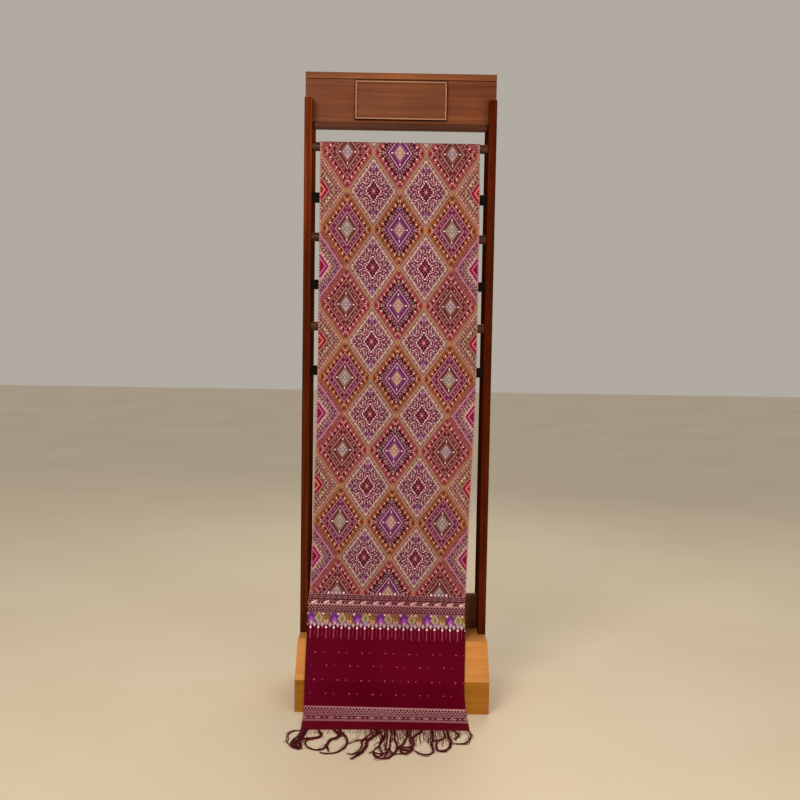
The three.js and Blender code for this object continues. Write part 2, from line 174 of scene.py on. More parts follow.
def ease(low: float, high: float, at: float) -> float:
    """Smooth step from 0 at low to 1 at high."""
    t = min(max((at - low) / (high - low), 0.0), 1.0)
    return t * t * (3 - 2 * t)


def smooth_route(points: Sequence[Vector], step: float) -> list[Vector]:
    """Runs a smooth curve through a route's points.

    Args:
        points: The route's points, in order.
        step: The distance between the new points, in the route's own measure.

    Returns:
        Points along the curve, both ends among them.
    """
    ends = [points[0] * 2 - points[1], *points, points[-1] * 2 - points[-2]]
    curve: list[Vector] = []
    for p0, p1, p2, p3 in zip(ends, ends[1:], ends[2:], ends[3:]):
        count = max(2, round((p2 - p1).length / step))
        for i in range(count):
            t = i / count
            square = (2 * p0 - 5 * p1 + 4 * p2 - p3) * t**2
            cube = (3 * p1 - p0 - 3 * p2 + p3) * t**3
            curve.append(0.5 * (2 * p1 + (p2 - p0) * t + square + cube))
    curve.append(points[-1].copy())
    return curve


def add_piece(name: str, mesh: bpy.types.Mesh, material: Material) -> bpy.types.Object:
    """Puts a mesh into the scene as a piece of the shawl.

    Args:
        name: The piece's name.
        mesh: Its mesh, already in place.
        material: Its finish.

    Returns:
        The new object, which rides on the one body.
    """
    piece = bpy.data.objects.new(name, mesh)
    bpy.context.scene.collection.objects.link(piece)
    mesh.materials.clear()
    mesh.materials.append(material)
    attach(piece, "root")
    return piece


class Grain(Enum):
    """The way a board's grain runs."""

    ACROSS = "across"
    UPRIGHT = "upright"


@dataclass(frozen=True)
class WoodFinish:
    """A lacquered or stained board: long soft grain streaks, dark pores and a satin coat.

    Attributes:
        name: The material's name.
        dark: Late wood, the dark lines of the grain.
        middle: The board's main colour.
        light: Early wood between the lines.
        grain: The way the grain runs.
        line_width: Distance between grain lines across the board.
        streak: Length of one streak along the board.
        roughness: Roughness of the surface.
        coat: Strength of the clear lacquer over it.
        specular: Strength of its own gloss, below the lacquer.
        lower_top: Height of the top of a lower board drawn deeper in colour, partly its own colour and partly
            painted shade. Below zero there is none.
        painted_light_above: Height above which a painted highlight pales the wood.
        painted_rim_light: Name of a plate whose rim has a painted highlight line and painted shadow at its
            outer edge. Empty for a board without one.
        pores: Strength of the relief that its grain lines and pores have.
        fleck: Width of a pore, as a share of a grain line.
        pore_share: How dark the pores are.
        lower_level: Brightness of the lower board, partly painted shade.
        lower_richness: Saturation of the lower board.
        painted_light_fade: Height over which the painted highlight grows.
        painted_light_level: Brightness where the painted highlight is palest.
        rim_line: How far in from the plate's edge its painted highlight line runs.
        rim_half: Half the line's width.
    """

    name: str
    dark: str
    middle: str
    light: str
    grain: Grain
    line_width: float = 7.0
    streak: float = 260.0
    roughness: float = 0.48
    coat: float = 0.05
    specular: float = 0.16
    lower_top: float = -1.0
    painted_light_above: float = 9000.0
    painted_rim_light: str = ""
    pores: float = 0.25
    fleck: float = 0.2
    pore_share: float = 0.45
    lower_level: float = 0.56
    lower_richness: float = 1.08
    painted_light_fade: float = 260.0
    painted_light_level: float = 1.9
    rim_line: float = 4.0
    rim_half: float = 1.5

    def make(self) -> Material:
        """Builds the material's nodes.

        Returns:
            The material.
        """
        material, add = new_material(self.name)
        place = add("TexCoord", out="Object")
        across = 1 / (self.line_width * MM)
        along = 1 / (self.streak * MM)
        is_across = self.grain is Grain.ACROSS
        scale = (along, across, across) if is_across else (across, across, along)
        front_place = add("Mapping", place, named={"Scale": scale})
        # On faces that look sideways the grain runs along the depth
        side_scale = (across, along, across) if is_across else scale
        side_place = add("Mapping", place, named={"Scale": side_scale})
        facing = add("SeparateXYZ", add("NewGeometry", out="Normal"))
        sideways = add("Math", add("Math", facing, operation="ABSOLUTE"), 0.7, operation="GREATER_THAN")
        grain = add("Mix", sideways, data_type="VECTOR", named={4: front_place, 5: side_place}, out=1)
        # Broad bands of early and late wood, a few grain lines wide, and the lines themselves
        bands = add("TexNoise", grain, named={
            "Scale": 0.32, "Detail": 4.0, "Roughness": 0.62, "Distortion": 0.5})
        lines = add("TexNoise", grain, named={
            "Scale": 1.0, "Detail": 6.0, "Roughness": 0.7, "Distortion": 0.25})
        half = add("Math", add("Math", bands, lines, operation="ADD"), 0.5, operation="MULTIPLY")
        colour = add("ValToRGB", half, stops=((0.33, self.dark), (0.5, self.middle), (0.67, self.light)))
        # Pores are short dark flecks
        fleck_place = add("Mapping", grain, named={"Scale": (1 / self.fleck,) * 3})
        flecks = add("TexNoise", fleck_place, named={"Scale": 1.3, "Detail": 2.0, "Roughness": 0.5})
        pore = add("MapRange", flecks, 0.56, 0.7, 0.0, 1.0)
        pore_share = add("Math", pore, self.pore_share, operation="MULTIPLY")
        pored = add("Mix", pore_share, data_type="RGBA", named={6: colour, 7: srgb(self.dark)}, out=2)
        # Patches of slightly deeper colour, a hand's width across
        patches = add("TexNoise", place, named={"Scale": 7.0, "Detail": 2.0})
        patch_level = add("MapRange", patches, 0.3, 0.7, 0.86, 1.12)
        height = add("SeparateXYZ", place, out=2)
        # The lower board is drawn darker and richer: partly its own deeper colour, partly painted shade
        lower = add("Math", height, self.lower_top * MM, operation="LESS_THAN")
        lower_level = add("MapRange", lower, 0.0, 1.0, 1.0, self.lower_level)
        # Painted highlight: above a height the wood is drawn paler, as if more light fell there
        painted_light_top = self.painted_light_above + self.painted_light_fade
        painted_light_level = add("MapRange", height, self.painted_light_above * MM, painted_light_top * MM, 1.0, self.painted_light_level)
        patches_and_painted_light = add("Math", patch_level, painted_light_level, operation="MULTIPLY")
        tone = add("HueSaturation", named={
            "Saturation": add("MapRange", lower, 0.0, 1.0, 1.0, self.lower_richness),
            "Value": add("Math", patches_and_painted_light, lower_level, operation="MULTIPLY"), "Color": pored}, out=0)
        if self.painted_rim_light:
            tone = self.paint_rim_light_and_shadow(add, place, lines, tone)
        relief = add("Math", lines, pore, operation="SUBTRACT")
        bump = add("Bump", named={"Strength": self.pores, "Distance": 0.4 * MM, "Height": relief})
        rough = add("MapRange", half, 0.3, 0.7, self.roughness + 0.08, self.roughness - 0.05)
        add("OutputMaterial", add("BsdfPrincipled", named={
            "Base Color": tone, "Roughness": rough, "Normal": bump, "IOR": 1.5, "Coat Weight": self.coat,
            "Coat Roughness": 0.3, "Specular IOR Level": self.specular}))
        return material

    def paint_rim_light_and_shadow(self, add: Callable[..., Node], place: NodeSocket, lines: Node, tone: NodeSocket) -> NodeSocket:
        """Paints a highlight along the rounded rim of a plate and painted shadow on its outer edge.

        Args:
            add: Adds a node to the material.
            place: The object coordinates.
            lines: The grain lines, which break the painted highlight up.
            tone: The wood's colour.

        Returns:
            The colour with the painted highlight and shadow on it.
        """
        low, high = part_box(self.painted_rim_light)
        parts = add("SeparateXYZ", place)
        inward: list[Node] = []
        for axis in (0, 2):
            middle = (low[axis] + high[axis]) / 2
            off = add("Math", parts.outputs[axis], middle, operation="SUBTRACT")
            size = add("Math", off, operation="ABSOLUTE")
            inward.append(add("Math", high[axis] - middle, size, operation="SUBTRACT"))
        depth = add("Math", *inward, operation="MINIMUM")
        # Painted highlight: a pale line along the rim, broken up by the grain
        rim = add("Math", depth, self.rim_line * MM, self.rim_half * MM, operation="COMPARE")
        broken = add("MapRange", lines, 0.35, 0.6, 0.45, 0.85)
        painted_rim_light = add("Math", rim, broken, operation="MULTIPLY")
        # Painted shadow: a dark band along the plate's outer edge
        edge = add("Math", depth, (self.rim_line - self.rim_half) * MM, operation="LESS_THAN")
        paled = add("Mix", painted_rim_light, data_type="RGBA", named={6: tone, 7: srgb("c49474")}, out=2)
        return add("Mix", edge, data_type="RGBA", named={6: paled, 7: srgb("2c1008")}, out=2)


@dataclass(frozen=True)
class FringeFinish:
    """Loose silk threads: a soft dull sheen, with fine darker and paler threads side by side.

    Attributes:
        name: The material's name.
        shade: Colour between the threads.
        thread: Colour of the threads.
        pale: Colour of the palest threads.
        thread_width: Width of one thread, drawn as wide as it has to be to show.
    """

    name: str
    shade: str
    thread: str
    pale: str
    thread_width: float = 0.8

    def make(self) -> Material:
        """Builds the material's nodes.

        Returns:
            The material.
        """
        material, add = new_material(self.name)
        place = add("TexCoord", out="Object")
        threads_per_metre = 1 / (self.thread_width * MM)
        fine = add("TexNoise", place, named={"Scale": threads_per_metre, "Detail": 3.0, "Roughness": 0.6})
        # Whole bundles are a little darker or paler, about a centimetre at a time
        broad = add("TexNoise", place, named={"Scale": 90.0, "Detail": 2.0})
        half = add("Math", add("Math", fine, broad, operation="ADD"), 0.5, operation="MULTIPLY")
        colour = add("ValToRGB", half, stops=((0.34, self.shade), (0.5, self.thread), (0.66, self.pale)))
        bump = add("Bump", named={"Strength": 0.5, "Distance": 0.3 * MM, "Height": fine})
        add("OutputMaterial", add("BsdfPrincipled", named={
            "Base Color": colour, "Roughness": 0.55, "Normal": bump, "Sheen Weight": 0.05,
            "Sheen Roughness": 0.4, "Sheen Tint": srgb("c03a5c"), "Specular IOR Level": 0.15}))
        return material


class Diamond(Enum):
    """The kinds of diamond in the field, by columns from the middle one and half rows past a pair of rows."""

    MIDDLE_ROSE = (0, 0)
    MIDDLE_ORANGE = (0, 2)
    SIDE_ROSE = (2, 0)
    SIDE_ORANGE = (2, 2)
    LIGHT_UPPER = (1, 1)
    LIGHT_LOWER = (1, 3)
    EDGE_MAUVE = (3, 1)
    EDGE_OLIVE = (3, 3)


@dataclass(frozen=True)
class Ring:
    """One ring of a diamond, from its start outwards.

    Attributes:
        start: Where it starts, as a share of the way from the diamond's middle to its border.
        ground: Colour of its ground.
        spot: Colour of the small lozenges woven on it. Empty where there are none.
    """

    start: float
    ground: str
    spot: str = ""


@dataclass(frozen=True)
class WovenRow:
    """A row of small lozenges of one colour.

    Attributes:
        line: Where the row lies: a ring's place in a diamond, or the height above the hem in a border.
        reach: Half the height of one lozenge.
        start: Where the first lozenge lies along the row.
        pitch: Distance from one to the next.
        half: Half the length of one.
        colour: Its colour.
        square: True for small bars in place of lozenges.
    """

    line: float
    reach: float
    start: float
    pitch: float
    half: float
    colour: str
    square: bool = False


def woven(*rows: tuple) -> tuple[WovenRow, ...]:
    """Turns a table's plain rows to woven rows."""
    return tuple(WovenRow(*row) for row in rows)


# Outer strips of the dark diamonds, which differ from row to row
ROSE_STRIP = (
    Ring(0.71, "883a48", "701c34"), Ring(0.84, "8e4650", "b47672"), Ring(0.94, "985848"),
    Ring(0.975, "4e1218"),
)
ORANGE_STRIP = (
    Ring(0.71, "8e4c36", "6e2c20"), Ring(0.84, "8a4e3a", "a87054"), Ring(0.94, "9a5e40"),
    Ring(0.975, "4c1c12"),
)
MIDDLE_RINGS = (
    Ring(0.0, "94707c", "c8ac88"), Ring(0.23, "5c2456", "7c4478"), Ring(0.42, "d4a4bc"),
    Ring(0.455, "501c40", "a46a8c"), Ring(0.62, "42142c", "8c4c64"),
)
LIGHT_RINGS = (
    Ring(0.0, "a8606a", "c08488"), Ring(0.09, "4c1226", "8c4c58"), Ring(0.24, "5c2038", "84405a"),
    Ring(0.40, "521c34", "8c5068"), Ring(0.50, "5c2c46", "a07c88"), Ring(0.77, "c09c98"),
    Ring(0.795, "8c6664", "b8988e"), Ring(0.945, "b49484"), Ring(0.975, "4c1c12"),
)
EDGE_LINE = Ring(0.975, "4c1c12")

# The rings of each diamond, from the middle outwards
RINGS = {
    Diamond.MIDDLE_ROSE: (
        *MIDDLE_RINGS[:3], Ring(0.455, "48183a", "9c7080"), Ring(0.62, "42142c", "8c5868"), *ROSE_STRIP,
    ),
    Diamond.MIDDLE_ORANGE: (*MIDDLE_RINGS, *ORANGE_STRIP),
    Diamond.SIDE_ROSE: (
        Ring(0.0, "806a7c", "b8a8b0"), Ring(0.25, "6c3038", "804048"), Ring(0.29, "582e28", "6c4032"),
        Ring(0.42, "bc8e84"), Ring(0.455, "662c3a", "a87868"), Ring(0.67, "bc807e"), *ROSE_STRIP,
    ),
    Diamond.SIDE_ORANGE: (
        Ring(0.0, "80707a", "b4a49c"), Ring(0.26, "5a3030", "6c3e38"), Ring(0.42, "c090a4"),
        Ring(0.455, "70304a", "a4728a"), Ring(0.67, "c08498"), *ORANGE_STRIP,
    ),
    Diamond.LIGHT_UPPER: LIGHT_RINGS,
    Diamond.LIGHT_LOWER: LIGHT_RINGS,
    Diamond.EDGE_MAUVE: (
        Ring(0.0, "6c0c34", "8c184c"), Ring(0.18, "b86090"), Ring(0.22, "60103a", "84204c"),
        Ring(0.34, "c890a8"), Ring(0.38, "6e4450", "b09494"), Ring(0.60, "7c4860", "a87c8c"),
        Ring(0.80, "c890a0"), Ring(0.83, "844854", "ac7078"), EDGE_LINE,
    ),
    Diamond.EDGE_OLIVE: (
        Ring(0.0, "800c28", "9c2038"), Ring(0.12, "cc8468"), Ring(0.16, "740c34", "982450"),
        Ring(0.30, "c88484"), Ring(0.34, "6c4046", "b49888"), Ring(0.55, "78484e", "ac8880"),
        Ring(0.72, "7a4c50", "a87c78"), Ring(0.92, "a87c68"), EDGE_LINE,
    ),
}

# The bright small lozenges on them, in the same shares
INNER_SPOTS = woven((0.10, 0.07, -0.10, 4.0, 0.05, "c8a878"), (0.30, 0.045, 0.30, 0.60, 0.045, "f4dce0"))
SERRATION = woven((0.75, 0.06, 0.12, 0.24, 0.08, "3c0c14"), (0.80, 0.03, 0.0, 0.24, 0.035, "f0d4c8"))
ROSE_SPOTS = woven((0.88, 0.05, 0.12, 0.24, 0.06, "701c34"), (0.92, 0.022, 0.0, 0.24, 0.024, "c89084"))
ORANGE_SPOTS = woven((0.88, 0.05, 0.12, 0.24, 0.06, "5c281a"), (0.92, 0.022, 0.0, 0.24, 0.024, "bc8468"))
MIDDLE_SPOTS = (
    *INNER_SPOTS, *woven((0.66, 0.045, 0.07, 0.14, 0.045, "9c7c70"), (0.70, 0.05, 0.0, 0.14, 0.05, "3c0c28")),
    *SERRATION, WovenRow(0.885, 0.05, -0.885, 4.0, 0.06, "d08c68"),
)
LIGHT_SPOTS = woven(
    (0.17, 0.035, 0.085, 0.17, 0.035, "3c0c1c"), (0.31, 0.055, 0.0, 0.155, 0.066, "ecd0d4"),
    (0.31, 0.028, 0.0, 0.155, 0.038, "6a2440"), (0.42, 0.035, 0.07, 0.14, 0.035, "dcacb4"),
    (0.50, 0.06, 0.0, 0.25, 0.06, "8c1c50"), (0.50, 0.04, 0.125, 0.25, 0.04, "ecccd0"),
    (0.58, 0.045, 0.06, 0.24, 0.05, "907c70"), (0.60, 0.04, 0.18, 0.24, 0.04, "e4c0c4"),
    (0.66, 0.05, 0.0, 0.22, 0.06, "641c4c"), (0.69, 0.035, 0.11, 0.22, 0.035, "e0bcc0"),
    (0.62, 0.10, -0.62, 4.0, 0.15, "84588c"), (0.87, 0.035, 0.0, 0.10, 0.03, "64443e"),
    (0.82, 0.02, 0.05, 0.10, 0.025, "dcc8bc"),
)
SPOTS = {
    Diamond.MIDDLE_ROSE: (*MIDDLE_SPOTS, *ROSE_SPOTS),
    Diamond.MIDDLE_ORANGE: (*MIDDLE_SPOTS, *ORANGE_SPOTS),
    Diamond.SIDE_ROSE: (
        *INNER_SPOTS, WovenRow(0.56, 0.07, 0.0, 0.20, 0.06, "581c2c"), *SERRATION, *ROSE_SPOTS,
    ),
    Diamond.SIDE_ORANGE: (
        *INNER_SPOTS, WovenRow(0.56, 0.07, 0.0, 0.20, 0.06, "561838"), *SERRATION, *ORANGE_SPOTS,
    ),
    Diamond.LIGHT_UPPER: LIGHT_SPOTS,
    Diamond.LIGHT_LOWER: LIGHT_SPOTS,
    Diamond.EDGE_MAUVE: woven(
        (0.45, 0.05, 0.0, 0.16, 0.05, "c0a880"), (0.54, 0.05, 0.08, 0.16, 0.05, "5a3c48"),
        (0.70, 0.06, 0.0, 0.20, 0.06, "5c2c5c"), (0.90, 0.04, 0.0, 0.14, 0.04, "5a2430"),
    ),
    Diamond.EDGE_OLIVE: woven(
        (0.44, 0.06, 0.0, 0.18, 0.06, "5c4a38"), (0.50, 0.04, 0.09, 0.18, 0.04, "c8b084"),
        (0.64, 0.06, 0.0, 0.18, 0.06, "6a3a48"), (0.82, 0.05, 0.0, 0.16, 0.05, "c09c78"),
    ),
}

# The lattice of each border: its rows' heights above the hem, every other row half a pitch along
LATTICE_PITCH = 9.77
LATTICE_HEIGHTS = (498.0, 492.0, 486.0, 463.2, 457.2, 451.2, 126.0, 119.6, 113.2, 106.8)
LATTICE = tuple(
    WovenRow(height, 4.0, LATTICE_PITCH / 2 * (k % 2), LATTICE_PITCH, 4.4, "3c0818")
    for k, height in enumerate(LATTICE_HEIGHTS)
)

# A net of fine spots behind the flames: its lowest row's height, its count of rows, and the distances of its
# rows and of its spots, with every other row half a pitch along
NET_START = 407.0
NET_ROWS = 6
NET_RISE = 6.0
NET_PITCH = 7.2
NET = tuple(
    WovenRow(NET_START + NET_RISE * k, 3.0, NET_PITCH / 2 * (k % 2), NET_PITCH, 2.6, "5c3040")
    for k in range(NET_ROWS)
)

# Three small dots in turn, bright, duller and faint, in four rows over the plain ground
DOT_TURN = 73.3
DOT_ROWS = ((306.0, 0.0), (262.0, 36.6), (216.0, 0.0), (174.0, 36.6))
DOT_KINDS = ((0.0, 2.6, "b87078"), (24.4, 2.4, "a04858"), (48.9, 2.2, "7e1c30"))
DOTS = tuple(
    WovenRow(height, size, first + shift, DOT_TURN, size - 0.2, colour)
    for height, first in DOT_ROWS for shift, size, colour in DOT_KINDS
)

# The border rows at each end, by height above the hem
BORDER_ROWS = (
    *LATTICE,
    # Small dashes with bright knots between them along the upper border's middle
    *woven(
        (481.5, 2.0, 0.0, 9.77, 3.4, "a87880"), (471.0, 2.0, 4.89, 9.77, 3.4, "a87880"),
        (476.2, 2.6, 4.89, 9.77, 2.6, "b88088"), (474.0, 3.4, 0.0, 39.08, 4.6, "f4d8d8"),
        (477.4, 3.0, 6.0, 39.08, 4.2, "f0d0d0"), (480.0, 2.6, 12.0, 39.08, 3.4, "e0b4b4"),
        (472.4, 2.6, 10.0, 39.08, 3.4, "e0b4b4"),
    ),
    *NET,
    # Flames: a purple one, an olive one and a brown pair in turn
    *woven(
        (438.0, 4.5, -5.0, 48.9, 4.5, "f0c8a8"), (438.0, 4.0, 19.4, 48.9, 4.0, "a06048"),
        (423.0, 24.0, -17.4, 73.3, 15.5, "643088"), (415.0, 16.0, -17.4, 73.3, 9.0, "ac54ac"),
        (408.0, 8.0, -17.4, 73.3, 4.5, "dcaccc"), (423.0, 22.0, 6.8, 73.3, 15.0, "b09c78"),
        (424.0, 14.0, 6.8, 73.3, 6.0, "7c7c50"), (407.0, 11.0, 6.8, 73.3, 6.5, "9a84b4"),
        (421.0, 20.0, 24.5, 73.3, 7.5, "8a6a36"), (421.0, 20.0, 33.3, 73.3, 7.5, "8a6236"),
        (413.0, 9.0, 24.5, 73.3, 4.0, "cca088"), (413.0, 9.0, 33.3, 73.3, 4.0, "cc9c90"),
    ),
    # Pale lozenges between the needles, the needles' white heads, and the needles
    *woven(
        (402.0, 9.5, 17.2, 24.43, 5.6, "ccaaa2"), (403.0, 8.0, 5.0, 24.43, 4.2, "b48cb0"),
        (392.0, 5.5, 5.0, 24.43, 3.8, "fff0f0"), (371.0, 17.5, 5.0, 24.43, 1.5, "9c4c66", True),
        (376.0, 14.0, 17.2, 24.43, 0.8, "8c3450", True),
    ),
    *DOTS,
    # Stars and small dashes along the lower border's middle
    *woven(
        (96.5, 2.8, 4.89, 9.77, 3.4, "b07480"), (72.5, 2.8, 4.89, 9.77, 3.4, "b07480"),
        (84.5, 9.0, 0.0, 41.0, 12.0, "d8a0a8"), (84.5, 4.0, 0.0, 41.0, 5.0, "5a1020"),
        (84.5, 1.6, 0.0, 41.0, 2.2, "e8bcc0"), (84.5, 6.0, 20.5, 41.0, 6.5, "c4848e"),
    ),
)

# Where the weft threads turn back at the selvedges, by distance from the cloth's middle
SELVEDGE = woven((247.5, 2.6, 0.0, 9.0, 3.4, "c89088"))

# Ground colours of the end, by height above the hem
END_GROUND = (
    (0.0, "680418"), (56.0, "ac727a"), (69.0, "5a1428"), (99.0, "c08c94"), (102.0, "bc8890"),
    (129.0, "b4808a"), (133.0, "5e001a"), (394.0, "421440"), (404.0, "6e484e"), (433.0, "80565e"),
    (443.0, "4c0c24"), (447.0, "a4747c"), (466.0, "ac7c84"), (468.0, "4e1220"), (484.0, "ac7c84"),
    (486.0, "a4747c"), (500.0, "a87c84"), (501.5, "500c1c"),
)


@functools.cache
def row_group(square: bool) -> NodeTree:
    """Builds the node group that draws a row.

    Args:
        square: True for bars, false for lozenges.

    Returns:
        The group.
    """
    group = bpy.data.node_groups.new(f"row of woven {'bars' if square else 'lozenges'}", "ShaderNodeTree")
    for name in ("Level", "Along", "Line", "Reach", "Start", "Pitch", "Half"):
        group.interface.new_socket(name, in_out="INPUT", socket_type="NodeSocketFloat")
    group.interface.new_socket("Mask", in_out="OUTPUT", socket_type="NodeSocketFloat")
    add = functools.partial(add_node, group)
    given = add("NodeGroupInput").outputs
    half_pitch = add("Math", given["Pitch"], 0.5, operation="MULTIPLY")
    minus = add("Math", half_pitch, -1.0, operation="MULTIPLY")
    moved = add("Math", given["Along"], given["Start"], operation="SUBTRACT")
    local = add("Math", moved, half_pitch, minus, operation="WRAP")
    along = add("Math", local, operation="ABSOLUTE")
    along_share = add("Math", along, given["Half"], operation="DIVIDE")
    off = add("Math", given["Level"], given["Line"], operation="SUBTRACT")
    off_size = add("Math", off, operation="ABSOLUTE")
    off_share = add("Math", off_size, given["Reach"], operation="DIVIDE")
    reach = add("Math", along_share, off_share, operation="MAXIMUM" if square else "ADD")
    add("NodeGroupOutput", add("Math", reach, 1.0, operation="LESS_THAN"))
    return group


def lay_rows(add: Callable[..., Node], rows: Sequence[WovenRow], level: object, along: object,
             colour: object) -> object:
    """Lays rows of lozenges or bars over a colour.

    Args:
        add: Adds a node to the material.
        rows: The rows.
        level: Where a point is across the rows.
        along: Where it is along them.
        colour: The colour below.

    Returns:
        The colour with the rows on it.
    """
    for row in rows:
        mask = add("Group", node_tree=row_group(row.square), named={
            "Level": level, "Along": along, "Line": row.line, "Reach": row.reach,
            "Start": row.start, "Pitch": row.pitch, "Half": row.half})
        colour = add("Mix", mask, data_type="RGBA", named={6: colour, 7: srgb(row.colour)}, out=2)
    return colour


@dataclass(frozen=True)
class BrocadeSilk:
    """Hand-woven brocade: a maroon silk ground with raised coloured wefts that step from thread to thread.

    Attributes:
        name: The material's name.
        steps: Pattern steps in half a diamond's width or height, which give the stepped outlines.
        end_step: Size of a pattern step at the ends.
        lozenge: Pitch of the small lozenges, as a share of half a diamond.
        lozenge_share: Half the size of one, as a share of that.
        crossing: Where the small flowers between four diamonds start, as a share of the way to the corner.
        heart: Where their hearts start.
        rib: Pitch of the weft ribs. The real ones are about 0.5 mm, drawn coarser so that they show.
        warp: Pitch of the warp threads, drawn coarser for the same reason.
        field_start: Height above the hem where the field starts.
        length: The cloth's length.
        skew: How much further a weft line lies above the hem at the left selvedge than at the right.
        width: The cloth's width.
    """

    name: str = "brocade silk, hand woven"
    steps: int = 32
    end_step: float = 1.5
    lozenge: float = 0.14
    lozenge_share: float = 0.27
    crossing: float = 0.935
    heart: float = 0.97
    rib: float = 1.3
    warp: float = 0.9
    field_start: float = 503.0
    length: float = 2500.0
    skew: float = 6.0
    width: float = 498.0

    def diamonds(self, add: Callable[..., Node]) -> tuple[object, object]:
        """Draws the field of stepped diamonds.

        Args:
            add: Adds a node to the material.

        Returns:
            The field's colour, and the mask of its small lozenges.
        """
        chart = add("SeparateXYZ", add("UVMap", uv_map="diamonds"))
        s, w = (add("Math", chart.outputs[k], 1 / self.steps, operation="SNAP") for k in (0, 1))
        half_pitch = self.lozenge / 2
        places: list[Node] = []
        cells: list[Node] = []
        sizes: list[Node] = []
        smalls: list[Node] = []
        # Both rising diagonals, whose whole even numbers are the diamonds' middles
        for diagonal in ("ADD", "SUBTRACT"):
            line = add("Math", s, w, operation=diagonal)
            place = add("Math", line, 1.0, -1.0, operation="WRAP")
            places.append(place)
            cells.append(add("Math", line, place, operation="SUBTRACT"))
            sizes.append(add("Math", place, operation="ABSOLUTE"))
            small = add("Math", place, half_pitch, -half_pitch, operation="WRAP")
            smalls.append(add("Math", small, operation="ABSOLUTE"))
        columns = add("Math", *cells, operation="ADD")
        column = add("Math", add("Math", columns, 0.5, operation="MULTIPLY"), operation="ABSOLUTE")
        rows = add("Math", *cells, operation="SUBTRACT")
        row = add("Math", add("Math", rows, 0.5, operation="MULTIPLY"), 4.0, operation="FLOORED_MODULO")
        ring = add("Math", *sizes, operation="MAXIMUM")
        product = add("Math", *places, operation="MULTIPLY")
        along = add("Math", product, add("Math", ring, 0.01, operation="MAXIMUM"), operation="DIVIDE")
        # Small lozenges in diagonal rows all over
        small = add("Math", *smalls, operation="MAXIMUM")
        spots = add("Math", small, self.lozenge * self.lozenge_share, operation="LESS_THAN")
        colour: object = None
        for kind in Diamond:
            rings = RINGS[kind]
            ground = add("ValToRGB", ring, stops=[(r.start, r.ground) for r in rings], steps=True)
            spot = add("ValToRGB", ring, stops=[(r.start, r.spot or r.ground) for r in rings], steps=True)
            made = add("Mix", spots, data_type="RGBA", named={6: ground, 7: spot}, out=2)
            made = lay_rows(add, SPOTS[kind], ring, along, made)
            if colour is None:
                colour = made
                continue
            in_column = add("Math", column, float(kind.value[0]), 0.5, operation="COMPARE")
            in_row = add("Math", row, float(kind.value[1]), 0.5, operation="COMPARE")
            chosen = add("Math", in_column, in_row, operation="MULTIPLY")
            colour = add("Mix", chosen, data_type="RGBA", named={6: colour, 7: made}, out=2)
        # Small flowers where four diamonds meet, each with a dark heart
        corner = add("Math", *sizes, operation="MINIMUM")
        for start, code in ((self.crossing, "a8784e"), (self.heart, "6a1a1c")):
            inside = add("Math", corner, start, operation="GREATER_THAN")
            colour = add("Mix", inside, data_type="RGBA", named={6: colour, 7: srgb(code)}, out=2)
        return colour, spots

    def make(self) -> Material:
        """Builds the material's nodes.

        Returns:
            The material.
        """
        material, add = new_material(self.name)
        flat = add("UVMap", uv_map="lay_flat")
        flat_mm = add("VectorMath", flat, operation="SCALE", named={"Scale": 1 / MM})
        x, up = add("SeparateXYZ", flat_mm).outputs[:2]
        # The height above the nearest hem, along weft lines that lean a little
        from_back = add("Math", self.length, up, operation="SUBTRACT")
        nearest = add("Math", up, from_back, operation="MINIMUM")
        lean = add("Math", x, self.skew / self.width, operation="MULTIPLY")
        height = add("Math", nearest, lean, operation="ADD")
        step_height = add("Math", height, self.end_step, operation="SNAP")
        step_x = add("Math", x, self.end_step, operation="SNAP")
        field_colour, spots = self.diamonds(add)
        # The plain end with its borders, flames and rows of small dots
        share = add("Math", step_height, 1 / self.field_start, operation="MULTIPLY")
        stops = [(h / self.field_start, code) for h, code in END_GROUND]
        end = lay_rows(add, BORDER_ROWS, step_height, step_x, add("ValToRGB", share, stops=stops, steps=True))
        in_field = add("Math", height, self.field_start, operation="GREATER_THAN")
        colour = add("Mix", in_field, data_type="RGBA", named={6: end, 7: field_colour}, out=2)
        # Weft threads turn back at the selvedges and show there as pale dots
        turns = lay_rows(add, SELVEDGE, add("Math", x, operation="ABSOLUTE"), up, colour)
        colour = add("Mix", in_field, data_type="RGBA", named={6: colour, 7: turns}, out=2)
        # Painted sheen: the plain ground leans to purple in broad soft patches
        sheen_patches = add("TexNoise", flat, named={"Scale": 3.4, "Detail": 1.0})
        sheen_share = add("MapRange", sheen_patches, 0.42, 0.7, 0.0, 0.35)
        plain = add("Math", 1.0, in_field, operation="SUBTRACT")
        sheen_on_plain = add("Math", sheen_share, plain, operation="MULTIPLY")
        colour = add("Mix", sheen_on_plain, data_type="RGBA", named={6: colour, 7: srgb("6e0a34")}, out=2)
        # Each weft thread is dyed a little differently
        thread_place = add("Mapping", flat, named={"Scale": (6.0, 700.0, 1.0)})
        threads = add("TexNoise", thread_place, named={"Scale": 1.0, "Detail": 3.0})
        thread_level = add("MapRange", threads, 0.3, 0.7, 0.84, 1.16)
        broad = add("TexNoise", flat, named={"Scale": 5.0, "Detail": 2.0})
        broad_level = add("MapRange", broad, 0.3, 0.7, 0.92, 1.08)
        level = add("Math", thread_level, broad_level, operation="MULTIPLY")
        dyed = add("HueSaturation", named={"Value": level, "Color": colour})
